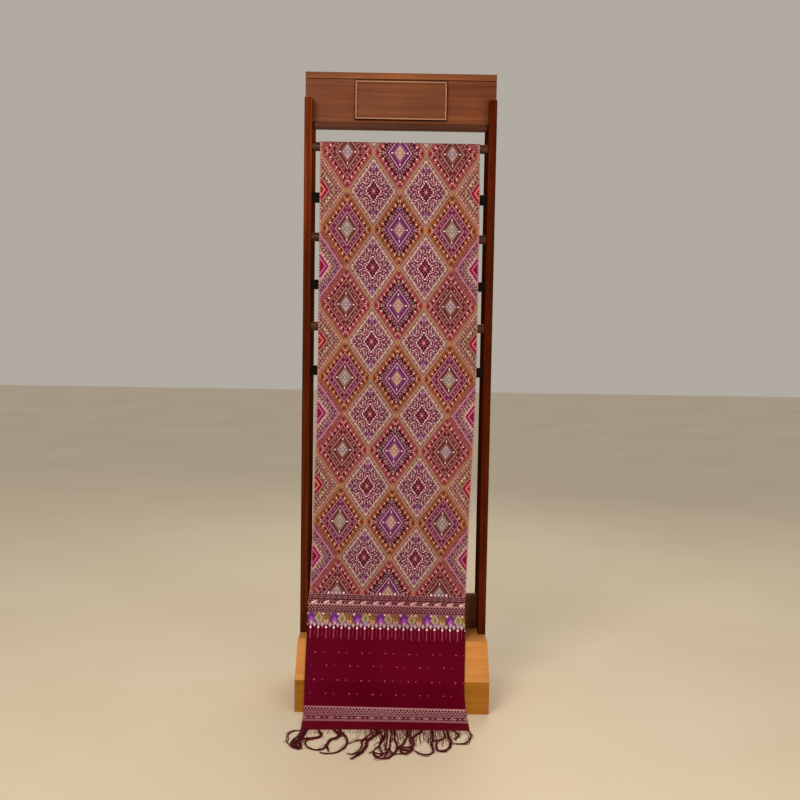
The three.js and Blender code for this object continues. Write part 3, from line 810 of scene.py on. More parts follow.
        # Weft ribs, warp threads and the raised pattern wefts
        waves: list[Node] = []
        for place, pitch in ((up, self.rib), (x, self.warp)):
            turn = add("Math", place, 2 * math.pi / pitch, operation="MULTIPLY")
            waves.append(add("Math", turn, operation="SINE"))
        ribs, warps = waves
        weave = add("Math", warps, 0.4, ribs, operation="MULTIPLY_ADD")
        raised = add("Math", spots, in_field, operation="MULTIPLY")
        relief = add("Math", raised, 1.6, weave, operation="MULTIPLY_ADD")
        bump = add("Bump", named={"Strength": 0.35, "Distance": 0.25 * MM, "Height": relief})
        add("OutputMaterial", add("BsdfPrincipled", named={
            "Base Color": dyed, "Roughness": 0.6, "Normal": bump, "Sheen Weight": 0.06,
            "Sheen Roughness": 0.35, "Sheen Tint": srgb("c03a5c"), "Specular IOR Level": 0.10,
            "Specular Tint": srgb("e08898")}))
        return material


@dataclass
class Run:
    """One straight run or bend of the cloth's side view.

    Attributes:
        length: Its length along the cloth.
        step: The mesh's step along it.
        turn: How far it turns in all, in radians. Zero for a straight run.
    """

    length: float
    step: float
    turn: float = 0.0


@dataclass
class Shawl:
    """The cloth itself, from its back hem over the top rail and the plinth to its front hem on the floor.

    Attributes:
        length: Its length laid flat.
        width: Its width laid flat.
        thickness: Its thickness.
        columns: Steps of the mesh across it.
        rail_y: Depth of the top rail's middle.
        rail_height: Height of the top rail's middle.
        drape_radius: Radius of the bend over the rail.
        clearance: Distance of its middle layer from the plinth.
        lift_radius: Radius of the bend onto the slope.
        nose_radius: Radius of the bend over the plinth's front edge.
        floor_bend_radius: Radius of the bend onto the floor.
        plinth_front: Depth of the plinth's front face.
        plinth_height: Height of the plinth.
        plinth_slope: Run of its slope.
        hem_ahead: How far ahead of the plinth the hem lies.
        half_diamond: Half a diamond's width.
        chart_shift: How far the middle diamonds lie off the cloth's middle.
        chart_lean: How much further the field lies above the hem at the left selvedge than at the right.
        rise: Distances up from the hem between which the soft waves begin.
        fade: Distances between which they end.
        wave: Their height, their count across the half width, and their lean for each millimetre up.
        ripple: Ripples where the cloth leaves the slope: height, length of a radian, and radians across.
        ripple_rise: Distances between which the ripples begin.
        ripple_fade: Distances between which they end.
        slack: Slack of the selvedges, in the same three numbers.
        drift: Height, count across, length and noise slice of the broad drift.
        uneven: Height, length, count across and noise slice of the selvedges' unevenness.
        selvedge_powers: How steeply the slack and the unevenness grow towards the selvedges.
        hem_line: Share of the half width, and how much further out than the mean the hem lies there.
        lay: Distance up from the front hem, the cloth's middle there and its width.
        diamond_rows: Distance up from the front hem, and half diamonds from the lowest row's middle.
    """

    length: float = 2500.0
    width: float = 498.0
    thickness: float = 1.8
    columns: int = 72
    rail_y: float = 8.0
    rail_height: float = 1737.0
    drape_radius: float = 15.3
    clearance: float = 3.6
    lift_radius: float = 170.0
    nose_radius: float = 10.0
    floor_bend_radius: float = 22.0
    plinth_front: float = -180.0
    plinth_height: float = 198.0
    plinth_slope: float = 97.0
    hem_ahead: float = 129.0
    half_diamond: float = 81.75
    chart_shift: float = 1.0
    chart_lean: float = 5.0
    rise: tuple[float, float] = (150, 300)
    fade: tuple[float, float] = (1700, 1880)
    wave: tuple[float, float, float] = (2.0, 1.35, 0.0011)
    ripple: tuple[float, float, float] = (0.5, 23, 2.2)
    ripple_rise: tuple[float, float] = (300, 380)
    ripple_fade: tuple[float, float] = (560, 760)
    slack: tuple[float, float, float] = (0.9, 61, 3)
    drift: tuple[float, float, float, float] = (0.8, 1.7, 210, 0.3)
    uneven: tuple[float, float, float, float] = (0.5, 19, 5, 1.7)
    selvedge_powers: tuple[int, int] = (6, 8)
    hem_line: tuple[tuple[float, float], ...] = ((-1, 8), (-0.6, 3), (0, -2), (0.6, -2), (1, 0))
    lay: tuple[tuple[float, float, float], ...] = (
        (0, -18, 497), (110, -20, 497), (175, -23, 490), (220, -23, 489), (305, -22, 495), (390, -21, 500),
        (480, -21, 503), (530, -17, 500), (810, -9.5, 498), (1130, -0.5, 501), (1450, 1, 500),
        (1760, 0.5, 498), (1945, -1, 496), (2500, 0, 498),
    )
    diamond_rows: tuple[tuple[float, float], ...] = (
        (506.8, 0), (736.9, 2), (967, 4), (1196.5, 6), (1426, 8), (1660.7, 10), (1897.3, 12), (2133, 14),
    )

    def floor_start(self) -> float:
        """Depth where the cloth comes to lie on the floor."""
        return self.plinth_front - self.clearance - self.floor_bend_radius

    def runs(self) -> list[Run]:
        """Works out the runs and bends of the side view.

        Returns:
            The runs, from the back hem to the front one.
        """
        fall_y = self.rail_y - self.drape_radius
        plinth_line = self.plinth_height - self.plinth_front - self.plinth_slope
        slope_line = plinth_line + self.clearance * math.sqrt(2)
        lift_height = slope_line + fall_y + self.lift_radius * (math.sqrt(2) - 1)
        lift_end = fall_y - self.lift_radius * (1 - math.sqrt(0.5))
        nose_y = self.plinth_front - self.clearance + self.nose_radius
        nose_z = nose_y + slope_line - self.nose_radius * math.sqrt(2)
        nose_start = nose_y - self.nose_radius * math.sqrt(0.5)
        eighth = math.pi / 4
        runs = [
            Run(0.0, 9.0),
            Run(self.drape_radius * math.pi, 2.4, math.pi),
            Run(self.rail_height - lift_height, 7.5),
            Run(self.lift_radius * eighth, 6.0, -eighth),
            Run((lift_end - nose_start) * math.sqrt(2), 6.0),
            Run(self.nose_radius * eighth, 1.6, eighth),
            Run(nose_z - 1 - self.floor_bend_radius, 6.0),
            Run(self.floor_bend_radius * 2 * eighth, 2.6, -2 * eighth),
            Run(self.floor_start() - self.plinth_front + self.hem_ahead, 5.0),
        ]
        runs[0].length = self.length - sum(run.length for run in runs)
        return runs

    def side_view(self) -> list[tuple[float, float, float, float]]:
        """Follows the runs.

        Returns:
            Rows of distance up from the front hem, y, z and the cloth's heading, from the front hem on.
        """
        runs = self.runs()
        y = self.rail_y + self.drape_radius
        z = self.rail_height - runs[0].length
        heading = math.pi / 2
        up = self.length
        rows = [(up, y, z, heading)]
        for run in runs:
            count = max(2, round(run.length / run.step))
            turn = run.turn / count
            part = run.length / count
            chord = part if turn == 0 else 2 * (part / abs(turn)) * math.sin(abs(turn) / 2)
            for _ in range(count):
                heading += turn / 2
                y += chord * math.cos(heading)
                z += chord * math.sin(heading)
                heading += turn / 2
                up -= part
                rows.append((up, y, z, heading))
        return rows[::-1]

    def lift(self, up: float, across: float) -> float:
        """How far soft waves lift the hanging face at a place.

        Args:
            up: Distance up from the front hem.
            across: Share of the half width, from -1 to 1.

        Returns:
            The lift, outwards.
        """
        height, count, lean = self.wave
        wave = 0.5 + 0.5 * math.sin(2 * math.pi * (count * across + lean * up))
        low, span, skew = self.ripple
        ripple = low * math.sin(up / span + skew * across) * ease(*self.ripple_rise, up)
        ripple *= 1 - ease(*self.ripple_fade, up)
        low, span, skew = self.slack
        selvedge = low * math.sin(up / span + skew * across) * abs(across) ** self.selvedge_powers[0]
        low, times, span, layer = self.drift
        drift = low * noise.noise(Vector((across * times, up / span, layer)))
        return (height * wave + ripple + selvedge + drift) * ease(*self.rise, up) * (1 - ease(*self.fade, up))

    def hem_shift(self, across: float) -> float:
        """How much further out than the mean the hem lies, at a share of the half width."""
        return smooth_table(self.hem_line, 1, across)

    def point(self, row: tuple[float, float, float, float], across: float) -> Vector:
        """Finds one point of the cloth's middle layer.

        Args:
            row: A row of the side view.
            across: Share of the half width.

        Returns:
            The point, in metres.
        """
        up, y, z, heading = row
        start = self.floor_start()
        hem_y = self.plinth_front - self.hem_ahead
        floor_share = min(max((start - y) / (start - hem_y), 0.0), 1.0)
        low, span, times, layer = self.uneven
        uneven = low * noise.noise(Vector((up / span, across * times, layer)))
        uneven *= abs(across) ** self.selvedge_powers[1]
        half = smooth_table(self.lay, 2, up) / 2 + uneven
        x = smooth_table(self.lay, 1, up) + across * half
        lift = self.lift(up, across)
        lifted_y = y + math.sin(heading) * lift - floor_share * self.hem_shift(across)
        lifted_z = z - math.cos(heading) * lift
        return Vector((x, lifted_y, lifted_z)) * MM

    def build(self, material: Material) -> bpy.types.Object:
        """Builds the cloth as a fine sheet with its two charts of flat coordinates.

        Args:
            material: Its finish.

        Returns:
            The cloth.
        """
        rows = self.side_view()
        shape = bmesh.new()
        last_row = len(rows) - 1
        bmesh.ops.create_grid(shape, x_segments=self.columns, y_segments=last_row, size=1.0)
        flat = shape.loops.layers.uv.new("lay_flat")
        chart = shape.loops.layers.uv.new("diamonds")
        places: dict[bmesh.types.BMVert, tuple[float, float]] = {}
        for vert in shape.verts:
            across = vert.co.x
            row = rows[round((vert.co.y + 1) / 2 * last_row)]
            places[vert] = (across * self.width / 2, row[0])
            vert.co = self.point(row, across)
        for face in shape.faces:
            face.smooth = True
            for loop in face.loops:
                x, up = places[loop.vert]
                row_place = smooth_table(self.diamond_rows, 1, up + self.chart_lean * x / self.width)
                loop[flat].uv = (x * MM, up * MM)
                loop[chart].uv = ((x + self.chart_shift) / self.half_diamond, row_place)
        mesh = bpy.data.meshes.new("shawl_cloth")
        shape.to_mesh(mesh)
        shape.free()
        cloth = add_piece("shawl_cloth", mesh, material)
        body = cloth.modifiers.new("cloth thickness", "SOLIDIFY")
        body.thickness = self.thickness * MM
        body.offset = 0.0
        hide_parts("shawl")
        return cloth


@dataclass
class Lock:
    """One lock of fringe on the floor.

    Attributes:
        root: Where it leaves the hem, across the stand.
        route: Its points after that, as x and distance ahead of the plinth.
        plies: How many plies are twisted together.
        ply: Radius of one ply.
        spread: How far the plies lie from the lock's middle.
        twist: Length of one full twist.
    """

    root: float
    route: tuple[tuple[float, float], ...]
    plies: int = 3
    ply: float = 1.2
    spread: float = 1.3
    twist: float = 22.0


# The locks at the front hem, roughly from left to right
LOCKS = (
    Lock(-263, ((-266, 143), (-284, 147), (-297, 160), (-298, 182), (-295, 206), (-296, 230), (-288, 250)),
         2, 1.0, 0.9),
    Lock(-254, ((-257, 160), (-257, 185), (-264, 212), (-277, 236), (-277, 258), (-267, 268), (-258, 258),
                (-258, 236)), 5, 1.7, 2.9, 34),
    Lock(-262, ((-262, 158), (-268, 190), (-280, 215), (-284, 245), (-272, 270), (-256, 262), (-256, 240),
                (-268, 228)), 4, 1.4, 2.4, 28),
    Lock(-250, ((-250, 165), (-256, 195), (-262, 225), (-270, 260), (-262, 274), (-250, 266)),
         3, 1.3, 1.8, 25),
    Lock(-216, ((-211, 150), (-203, 172), (-206, 188), (-222, 198), (-240, 202), (-258, 205)),
         4, 1.5, 2.2, 28),
    Lock(-213, ((-211, 150), (-206, 170), (-204, 188), (-214, 201), (-231, 204), (-243, 215), (-244, 238),
                (-235, 261), (-216, 279), (-198, 277), (-188, 262), (-184, 240)), 3, 1.3, 1.6),
    Lock(-172, ((-166, 148), (-156, 165), (-152, 182), (-161, 195), (-174, 206), (-180, 226), (-181, 250),
                (-178, 276), (-173, 291)), 4, 1.4, 2.0, 26),
    Lock(-170, ((-160, 150), (-147, 168), (-148, 184), (-162, 198), (-177, 214), (-184, 250), (-191, 272),
                (-205, 281)), 3, 1.2, 1.5),
    Lock(-158, ((-150, 152), (-142, 166), (-136, 180), (-130, 196)), 4, 1.4, 2.0, 24),
    Lock(-153, ((-147, 150), (-139, 170), (-131, 188), (-126, 212), (-127, 240), (-134, 266), (-147, 291),
                (-166, 303), (-185, 304), (-199, 298)), 4, 1.4, 2.0, 30),
    Lock(-50, ((-56, 180), (-62, 195), (-84, 203), (-105, 212), (-124, 235)), 2, 0.9, 0.9),
    Lock(-60, ((-61, 160), (-72, 188), (-82, 215), (-84, 245), (-88, 273), (-97, 295), (-110, 305),
               (-122, 298)), 3, 1.2, 1.4),
    Lock(-45, ((-42, 155), (-46, 176), (-59, 198), (-69, 222), (-71, 250), (-76, 277), (-85, 301), (-98, 321),
               (-111, 340)), 5, 1.8, 3.0, 34),
    Lock(-34, ((-33, 155), (-26, 180), (-29, 212), (-34, 242), (-30, 270), (-25, 296), (-32, 318), (-43, 313),
               (-50, 301)), 3, 1.4, 1.8),
    Lock(-20, ((-22, 200), (-36, 250), (-50, 285), (-45, 318), (-28, 330), (-8, 322), (2, 300), (-4, 275),
               (-22, 272)), 3, 1.2, 1.5),
    Lock(-14, ((-13, 170), (-13, 205), (-16, 240), (-14, 268), (-10, 290), (-14, 310), (-24, 330)),
         3, 1.0, 1.2),
    Lock(0, ((-2, 200), (-4, 255), (-14, 290), (-34, 300), (-52, 288), (-62, 300)), 3, 1.2, 1.5),
    Lock(8, ((10, 165), (10, 205), (15, 238), (16, 268), (10, 296), (-1, 317), (-13, 335)), 4, 1.4, 2.0, 26),
    Lock(48, ((44, 190), (30, 240), (22, 258), (34, 272), (52, 276), (60, 262), (48, 250)), 4, 1.4, 2.0, 26),
    Lock(58, ((56, 200), (60, 262), (52, 284), (40, 296), (25, 298), (14, 300), (0, 296)), 3, 1.2, 1.5),
    Lock(90, ((83, 152), (71, 169), (62, 192), (64, 222), (62, 246), (50, 257), (36, 257), (27, 268),
              (27, 286), (38, 296), (49, 287)), 4, 1.5, 2.1, 26),
    Lock(119, ((120, 165), (119, 198), (114, 226), (116, 256), (117, 284), (105, 302), (86, 302), (73, 290),
               (66, 276)), 4, 1.4, 1.9, 26),
    Lock(150, ((155, 165), (152, 184), (136, 200), (122, 206), (112, 232), (118, 262)), 3, 1.2, 1.4),
    Lock(165, ((164, 155), (167, 184), (171, 212), (168, 240), (160, 264), (145, 278), (131, 276), (128, 260),
               (128, 236), (130, 212)), 4, 1.6, 2.3, 28),
    Lock(181, ((189, 147), (195, 166), (189, 185), (182, 200)), 3, 1.2, 1.4),
    Lock(225, ((231, 148), (231, 174), (224, 199), (213, 217), (198, 224), (176, 222)), 3, 1.1, 1.2),
)


@dataclass
class Fringe:
    """The threads at both hems: locks and loose threads on the floor in front, twisted threads at the back.

    Attributes:
        shawl: The cloth they belong to.
        seed: Seed of the threads' small differences.
        tuck: How far inside the hem they start.
        steps: Distance between a curve's points: in a lock, a loose thread and a single thread.
        flatness: Height of a lock's twist, as a share of its spread.
        loosening: How much a lock's plies loosen in places, how far apart those are and each ply's offset.
        ply_share: Radius of a ply as it lies, as a share of the lock's own.
        loose_count: How many threads have slipped out of each lock.
        loose_spread: How far they stray from it.
        loose_radius: Their thinnest and thickest radius.
        loose_stops: How many of the lock's stops a thread follows, from the fewest to just past the most.
        loose_ahead: How far ahead of the hem they stay.
        thread_tip: Radius of a single thread's tip, as a share of its root's.
        thread_length: A single thread's shortest and longest length, as shares of its row's reach.
        thread_pitch: The narrowest and widest distance of two, as shares of their row's pitch.
        thread_lean: How far one leans at most, as a share of its length.
        sway: How far one sways at most.
        rows: Rows of single threads on the floor: first and last root, pitch, reach and radius.
        back_count: Count of the twisted threads at the back hem.
        back_length: Their length, and the shortest one's share of it.
        back_inset: Distance of the outer ones from the selvedges.
        back_stray: How far a tip strays at most to the side and backwards.
        back_root: How far behind the cloth's middle layer and above its hem a thread starts.
        back_plies: How many plies are twisted together.
        back_ply: Radius of one ply.
        back_spread: Distance of a ply from its thread's middle.
        back_twist: Length of one full twist.
        back_steps: Steps of a ply's curve.
        splines: The strands kept so far, as points and radii.
    """

    shawl: Shawl
    seed: int = 7
    tuck: float = 1.5
    steps: tuple[float, float, float] = (2.6, 4.0, 5.0)
    flatness: float = 0.6
    loosening: tuple[float, float, float] = (0.35, 17, 2.1)
    ply_share: float = 0.85
    loose_count: int = 8
    loose_spread: float = 5.0
    loose_radius: tuple[float, float] = (0.4, 0.65)
    loose_stops: tuple[int, int] = (4, 8)
    loose_ahead: float = 4
    thread_tip: float = 0.6
    thread_length: tuple[float, float] = (0.6, 1.0)
    thread_pitch: tuple[float, float] = (0.7, 1.3)
    thread_lean: float = 0.12
    sway: float = 4.0
    rows: tuple[tuple[float, float, float, float, float], ...] = (
        (-262, 226, 5.0, 44, 0.5), (-100, 200, 8.0, 90, 0.6), (-40, 165, 3.6, 125, 0.7),
    )
    back_count: int = 54
    back_length: tuple[float, float] = (205, 0.9)
    back_inset: float = 6
    back_stray: tuple[float, float] = (1.5, 4.0)
    back_root: tuple[float, float] = (0.6, 1)
    back_plies: int = 3
    back_ply: float = 0.95
    back_spread: float = 1.0
    back_twist: float = 24
    back_steps: int = 40
    splines: list[tuple[list[Vector], list[float]]] = field(default_factory=list)

    def hem_y(self, x: float) -> float:
        """Finds where the front hem's threads start, a little inside its edge.

        Args:
            x: The place across the stand.

        Returns:
            Their depth there.
        """
        middle, width = self.shawl.lay[0][1:]
        across = min(max((x - middle) / (width / 2), -1.0), 1.0)
        return self.shawl.plinth_front - self.shawl.hem_ahead - self.shawl.hem_shift(across) + self.tuck

    def stops(self, lock: Lock) -> list[Vector]:
        """The points of a lock's route, from its root on."""
        ahead = [Vector((x, self.shawl.plinth_front - out, 0)) for x, out in lock.route]
        return [Vector((lock.root, self.hem_y(lock.root), 0)), *ahead]

    def strand(self, points: Sequence[Vector], radius: float, tip: float = 0.5) -> None:
        """Keeps one strand, to be made with the others.

        Args:
            points: Its points, in millimetres.
            radius: Its radius at the root.
            tip: Its radius at the tip, as a share of that.
        """
        last = len(points) - 1
        radii = [radius * (1 - (1 - tip) * ease(0.75, 1.0, k / last)) for k in range(last + 1)]
        self.splines.append((list(points), radii))

    def floor_lock(self, lock: Lock) -> None:
        """Twists a lock's plies together along its route on the floor.

        Args:
            lock: The lock.
        """
        route = smooth_route(self.stops(lock), self.steps[0])
        middle_height = lock.spread * self.flatness + lock.ply
        share, measure, offset = self.loosening
        for ply in range(lock.plies):
            curve = []
            travelled = 0.0
            for k, point in enumerate(route):
                ahead = route[min(k + 1, len(route) - 1)] - route[max(k - 1, 0)]
                side = Vector((ahead.y, -ahead.x, 0)).normalized()
                if k:
                    travelled += (point - route[k - 1]).length
                angle = 2 * math.pi * (travelled / lock.twist + ply / lock.plies)
                loosen = 1 + share * math.sin(travelled / measure + ply * offset)
                out = side * lock.spread * loosen * math.cos(angle)
                height = middle_height + self.flatness * lock.spread * math.sin(angle)
                curve.append(Vector((point.x + out.x, point.y + out.y, max(height, lock.ply))))
            self.strand(curve, lock.ply * self.ply_share)

    def loose_threads(self, dice: random.Random, lock: Lock) -> None:
        """Lays a few threads that have slipped out of a lock beside it.

        Args:
            dice: The seeded source of small differences.
            lock: The lock.
        """
        stops = self.stops(lock)
        for _ in range(self.loose_count):
            radius = dice.uniform(*self.loose_radius)
            first = dice.randrange(0, max(1, len(stops) - self.loose_stops[0]))
            last = min(len(stops), first + dice.randrange(*self.loose_stops))
            points = []
            for stop in stops[first:last]:
                shift = Vector((dice.gauss(0, self.loose_spread), dice.gauss(0, self.loose_spread), 0))
                y = min(stop.y + shift.y, stops[0].y - self.loose_ahead)
                points.append(Vector((stop.x + shift.x, y, radius)))
            self.strand(smooth_route(points, self.steps[1]), radius, self.thread_tip)

    def floor_threads(self, dice: random.Random, first: float, last: float, pitch: float, reach: float,
                      radius: float) -> None:
        """Lays single threads side by side on the floor.

        Args:
            dice: The seeded source of small differences.
            first: Where the first leaves the hem.
            last: Where the last leaves it.
            pitch: Their distance at the hem.
            reach: How far they run out.
            radius: Their radius.
        """
        x = first
        while x <= last:
            start = Vector((x, self.hem_y(x), radius))
            length = reach * dice.uniform(*self.thread_length)
            lean = dice.uniform(-self.thread_lean, self.thread_lean)
            points = [start]
            for share in (0.2, 0.4, 0.6, 0.8, 1.0):
                sway = dice.uniform(-self.sway, self.sway) * share
                points.append(Vector((x + lean * length * share + sway, start.y - length * share, radius)))
            self.strand(smooth_route(points, self.steps[2]), radius, self.thread_tip)
            x += pitch * dice.uniform(*self.thread_pitch)

    def back_threads(self, dice: random.Random) -> None:
        """Hangs twisted threads from the back hem.

        Args:
            dice: The seeded source of small differences.
        """
        _, hem_y, hem_z, _ = self.shawl.side_view()[-1]
        width = self.shawl.lay[-1][2]
        full_length, shortest = self.back_length
        side_stray, back_stray = self.back_stray
        behind, above = self.back_root
        for n in range(self.back_count):
            share = n / (self.back_count - 1)
            root_x = -width / 2 + self.back_inset + share * (width - 2 * self.back_inset)
            length = full_length * dice.uniform(shortest, 1.0)
            side = dice.uniform(-side_stray, side_stray)
            back = dice.uniform(0.0, back_stray)
            for ply in range(self.back_plies):
                points = []
                for k in range(self.back_steps + 1):
                    drop = k / self.back_steps
                    angle = 2 * math.pi * (drop * length / self.back_twist + ply / self.back_plies)
                    x = root_x + side * drop + self.back_spread * math.cos(angle)
                    y = hem_y + behind + back * drop + self.back_spread * math.sin(angle)
                    points.append(Vector((x, y, hem_z + above - drop * length)))
                self.strand(points, self.back_ply)

    def finish(self, name: str, node: str, material: Material) -> bpy.types.Object:
        """Makes one mesh of the strands kept so far.

        Args:
            name: The piece's name.
            node: The plain solid it stands for.
            material: Its finish.

        Returns:
            The piece.
        """
        curve = bpy.data.curves.new(name, "CURVE")
        curve.dimensions = "3D"
        curve.bevel_depth = MM
        curve.bevel_resolution = 1
        curve.use_fill_caps = True
        for points, radii in self.splines:
            spline = curve.splines.new("POLY")
            spline.points.add(len(points) - 1)
            for slot, point, radius in zip(spline.points, points, radii):
                slot.co = (*(point * MM), 1.0)
                slot.radius = radius
        self.splines.clear()
        holder = bpy.data.objects.new(name, curve)
        bpy.context.scene.collection.objects.link(holder)
        bpy.context.view_layer.update()
        ready = holder.evaluated_get(bpy.context.evaluated_depsgraph_get())
        mesh = bpy.data.meshes.new_from_object(ready)
        bpy.data.objects.remove(holder)
        bpy.data.curves.remove(curve)
        for face in mesh.polygons:
            face.use_smooth = True
        piece = add_piece(name, mesh, material)
        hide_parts(node)
        return piece

    def build(self) -> list[bpy.types.Object]:
        """Makes the locks and threads of both hems.

        Returns:
            The pieces.
        """
        # Silk twisted into locks: dull and almost black between the plies, deep maroon where the light falls
        dark = FringeFinish("fringe silk, twisted", "260406", "4c0810", "801622").make()
        # The same silk as single threads, which look paler and browner because light passes through them
        pale = FringeFinish("fringe silk, single threads", "3a0a0e", "6a1c22", "964444").make()
        dice = random.Random(self.seed)
        for lock in LOCKS:
            self.floor_lock(lock)
        pieces = [self.finish("fringe_front_locks", "fringe_front", dark)]
        for row in self.rows:
            self.floor_threads(dice, *row)
        for lock in LOCKS:
            self.loose_threads(dice, lock)
        pieces.append(self.finish("fringe_front_threads", "fringe_front", pale))
        self.back_threads(dice)
        pieces.append(self.finish("fringe_back_threads", "fringe_back", dark))
        return pieces


# Each wood, the boards that it is for and the width of their softened edges
DRESSINGS = (
    # Lacquered teak: a satin warm brown with fine dark lines along the board
    (WoodFinish("teak cap, lacquered", "5e3014", "824a26", "965a34", Grain.ACROSS, 5.0),
     ("header_cap",), 1.6),
    # Teak drawn darker as painted shade: a deep brown strip under the header, in its shade
    (WoodFinish("teak in painted shade, grain across", "341608", "502816", "663a20", Grain.ACROSS, 5.0),
     ("header_rail",), 6.0),
    # The same lacquered teak, a little deeper and redder, for the header and between the feet
    (WoodFinish("teak, lacquered, grain across", "552812", "6e391c", "834a2a", Grain.ACROSS, 5.0),
     ("header_board", "bottom_rail"), 1.6),
    # Oiled teak: a dull red brown, with a painted highlight that pales the top of the left board
    (WoodFinish("teak, oiled, with painted highlight at the top", "30100a", "50200c", "6e341a", Grain.UPRIGHT, coat=0.0,
                specular=0.0, painted_light_above=1400.0), ("upright_left",), 1.6),
    # The right board's copy of the oiled teak is drawn a little darker: painted shade
    (WoodFinish("teak, oiled, grain upright", "2c0c03", "4a1a07", "62280c", Grain.UPRIGHT, coat=0.0,
                specular=0.0), ("upright_right",), 1.6),
    # A smoother plate of the same teak, with a painted highlight along its rounded rim and painted shadow at
    # its outer edge
    (WoodFinish("teak name plate, oiled", "5a2a16", "703e22", "824e30", Grain.ACROSS, 4.0, 180.0, 0.42,
                painted_rim_light="sign_plate"), ("sign_plate",), 0.8),
    # Varnished pale hardwood: honey with broad soft figure, its lower board a deeper gold, partly its own
    # colour and partly painted shade
    (WoodFinish("pale hardwood, varnished", "b87436", "cc8a44", "da9c56", Grain.ACROSS, 9.0, 340.0, 0.45,
                lower_top=101.0), ("plinth",), 2.0),
    # Turned rails under varnish: dark brown with a soft line of light along them
    (WoodFinish("turned rail, varnished", "2c140a", "482616", "603a22", Grain.ACROSS, 4.0, 200.0, 0.4),
     ("hang_rail_1", "hang_rail_2", "hang_rail_3"), 1.0),
    # Near black finish for the bars: dull, with hardly any grain left to see
    (WoodFinish("bar, near black", "080403", "0e0705", "160c08", Grain.ACROSS, 5.0, 160.0, 0.6, 0.0, 0.05),
     ("cross_bar_1", "cross_bar_2", "cross_bar_3"), 1.2),
)


@dataclass
class Stand:
    """The wooden display stand: each of its boards and rails, with softened edges and its own wood.

    Attributes:
        weld: How close two points of a board are that become one.
        edge_angle: Edges sharper than this, in degrees, are softened.
        segments: Steps of a softened edge.
    """

    weld: float = 0.05
    edge_angle: float = 35.0
    segments: int = 2

    def dress(self, node: str, material: Material, edge: float) -> None:
        """Gives one board its wood and softens its edges.

        Args:
            node: The board's name.
            material: Its wood.
            edge: Width of its softened edges.
        """
        board = bpy.data.objects[node]
        for slot in board.material_slots:
            slot.material = material
        weld = board.modifiers.new("joined faces", "WELD")
        weld.merge_threshold = self.weld * MM
        soft = board.modifiers.new("softened edges", "BEVEL")
        soft.width = edge * MM
        soft.segments = self.segments
        soft.limit_method = "ANGLE"
        soft.angle_limit = math.radians(self.edge_angle)
        soft.harden_normals = True

    def build(self) -> None:
        """Dresses every board, bar and rail."""
        for finish, nodes, edge in DRESSINGS:
            wood = finish.make()
            for node in nodes:
                self.dress(node, wood, edge)
                LOG.info("%s: %s", node, finish.name)


@dataclass
class Lamp:
    """A soft square lamp.

    Attributes:
        name: Its name.
        place: Where it hangs, in metres.
        aim: What it points at, in metres.
        size: Its side, in metres.
        power: Its power, in watts.
        tint: Its colour.
    """

    name: str
    place: tuple[float, float, float]
    aim: tuple[float, float, float]
    size: float
    power: float
    tint: str

    def hang(self) -> None:
        """Puts the lamp into the scene."""
        data = bpy.data.lights.new(self.name, "AREA")
        data.shape = "SQUARE"
        data.size = self.size
        data.energy = self.power
        data.color = srgb(self.tint)[:3]
        lamp = bpy.data.objects.new(self.name, data)
        bpy.context.scene.collection.objects.link(lamp)
        lamp.location = self.place
        lamp.rotation_euler = (Vector(self.aim) - Vector(self.place)).to_track_quat("-Z", "Y").to_euler()


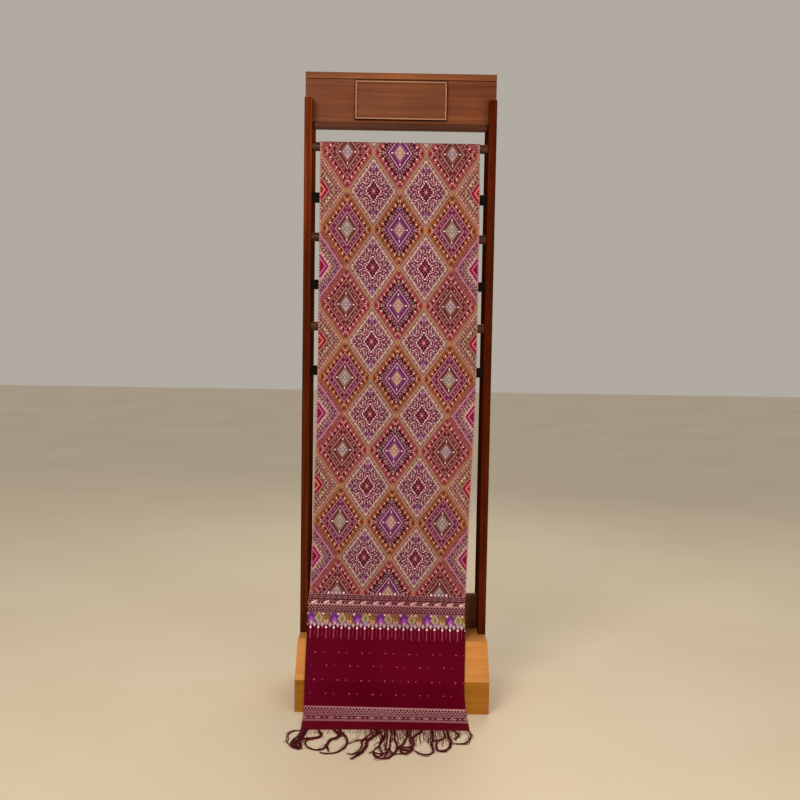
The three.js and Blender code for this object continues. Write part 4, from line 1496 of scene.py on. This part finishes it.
@dataclass
class Studio:
    """The plain pale floor, the soft lights and the camera.

    Attributes:
        camera_place: Where the camera stands, in millimetres.
        pitch: How far it looks down, in degrees.
        roll: How far it is rolled.
        yaw: How far it is turned to the side.
        lens: Its focal length.
        floor_size: Half the floor's width, in metres.
        air: Colour of the light from all around.
        air_strength: Strength of that light.
        lamps: The lamps.
    """

    camera_place: tuple[float, float, float] = (-7.2, -3263.7, 1206.4)
    pitch: float = 4.491
    roll: float = 0.914
    yaw: float = -0.330
    lens: float = 46.50
    floor_size: float = 14.0
    air: str = "f1e8dc"
    air_strength: float = 0.50
    lamps: tuple[Lamp, ...] = (
        Lamp("key lamp", (-1.2, -2.5, 2.9), (0.0, 0.0, 1.0), 1.3, 54.0, "fff1dc"),
        Lamp("fill lamp", (1.6, -3.2, 0.95), (0.0, 0.0, 0.6), 1.6, 36.0, "ffeede"),
        Lamp("rear lamp", (0.6, 2.4, 2.6), (0.0, 0.0, 1.0), 1.6, 24.0, "fff1dc"),
    )

    def camera(self) -> None:
        """Places the camera where the photograph was taken from."""
        yaw, pitch, roll = (math.radians(angle) for angle in (self.yaw, self.pitch, self.roll))
        right = Vector((math.cos(yaw), math.sin(yaw), 0))
        ahead = Vector((-math.sin(yaw) * math.cos(pitch), math.cos(yaw) * math.cos(pitch), -math.sin(pitch)))
        up = Vector((-math.sin(yaw) * math.sin(pitch), math.cos(yaw) * math.sin(pitch), math.cos(pitch)))
        rolled_right = right * math.cos(roll) + up * math.sin(roll)
        rolled_up = up * math.cos(roll) - right * math.sin(roll)
        data = bpy.data.cameras.new("camera")
        data.lens = self.lens
        data.sensor_width = 36.0
        data.dof.use_dof = False
        data.clip_end = 100.0
        camera = bpy.data.objects.new("camera", data)
        bpy.context.scene.collection.objects.link(camera)
        turn = Matrix((rolled_right, rolled_up, -ahead)).transposed().to_4x4()
        camera.matrix_world = Matrix.Translation(Vector(self.camera_place) * MM) @ turn
        bpy.context.scene.camera = camera

    def floor(self) -> None:
        """Lays the plain pale floor."""
        shape = bmesh.new()
        bmesh.ops.create_grid(shape, x_segments=1, y_segments=1, size=self.floor_size)
        mesh = bpy.data.meshes.new("floor")
        shape.to_mesh(mesh)
        shape.free()
        floor = bpy.data.objects.new("floor", mesh)
        bpy.context.scene.collection.objects.link(floor)
        # Honed pale stone: even and dull, with faint clouds more than half a metre wide
        material, add = new_material("pale floor, honed")
        clouds = add("TexNoise", add("TexCoord", out="Object"), named={"Scale": 1.5, "Detail": 3.0})
        colour = add("ValToRGB", clouds, stops=((0.3, "e6d9bf"), (0.7, "ece0ca")))
        add("OutputMaterial", add("BsdfPrincipled", named={"Base Color": colour, "Roughness": 0.5}))
        mesh.materials.append(material)

    def build(self) -> None:
        """Sets up the floor, the lights and the camera."""
        self.camera()
        self.floor()
        world = bpy.data.worlds.new("studio air")
        world.use_nodes = True
        air = world.node_tree.nodes["Background"]
        air.inputs["Color"].default_value = srgb(self.air)
        air.inputs["Strength"].default_value = self.air_strength
        bpy.context.scene.world = world
        for lamp in self.lamps:
            lamp.hang()
        bpy.context.scene.view_settings.view_transform = "Standard"
        LOG.info("studio ready")


def main() -> None:
    """Loads the frame, builds every piece and logs the faces of the cloth and fringe pieces."""
    logging.basicConfig(level=logging.INFO, format="%(message)s")
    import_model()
    Studio().build()
    Stand().build()
    shawl = Shawl()
    cloth = shawl.build(BrocadeSilk().make())
    fringe = Fringe(shawl).build()
    for piece in (cloth, *fringe):
        LOG.info("%s: %d faces", piece.name, len(piece.data.polygons))


if __name__ == "__main__":
    main()
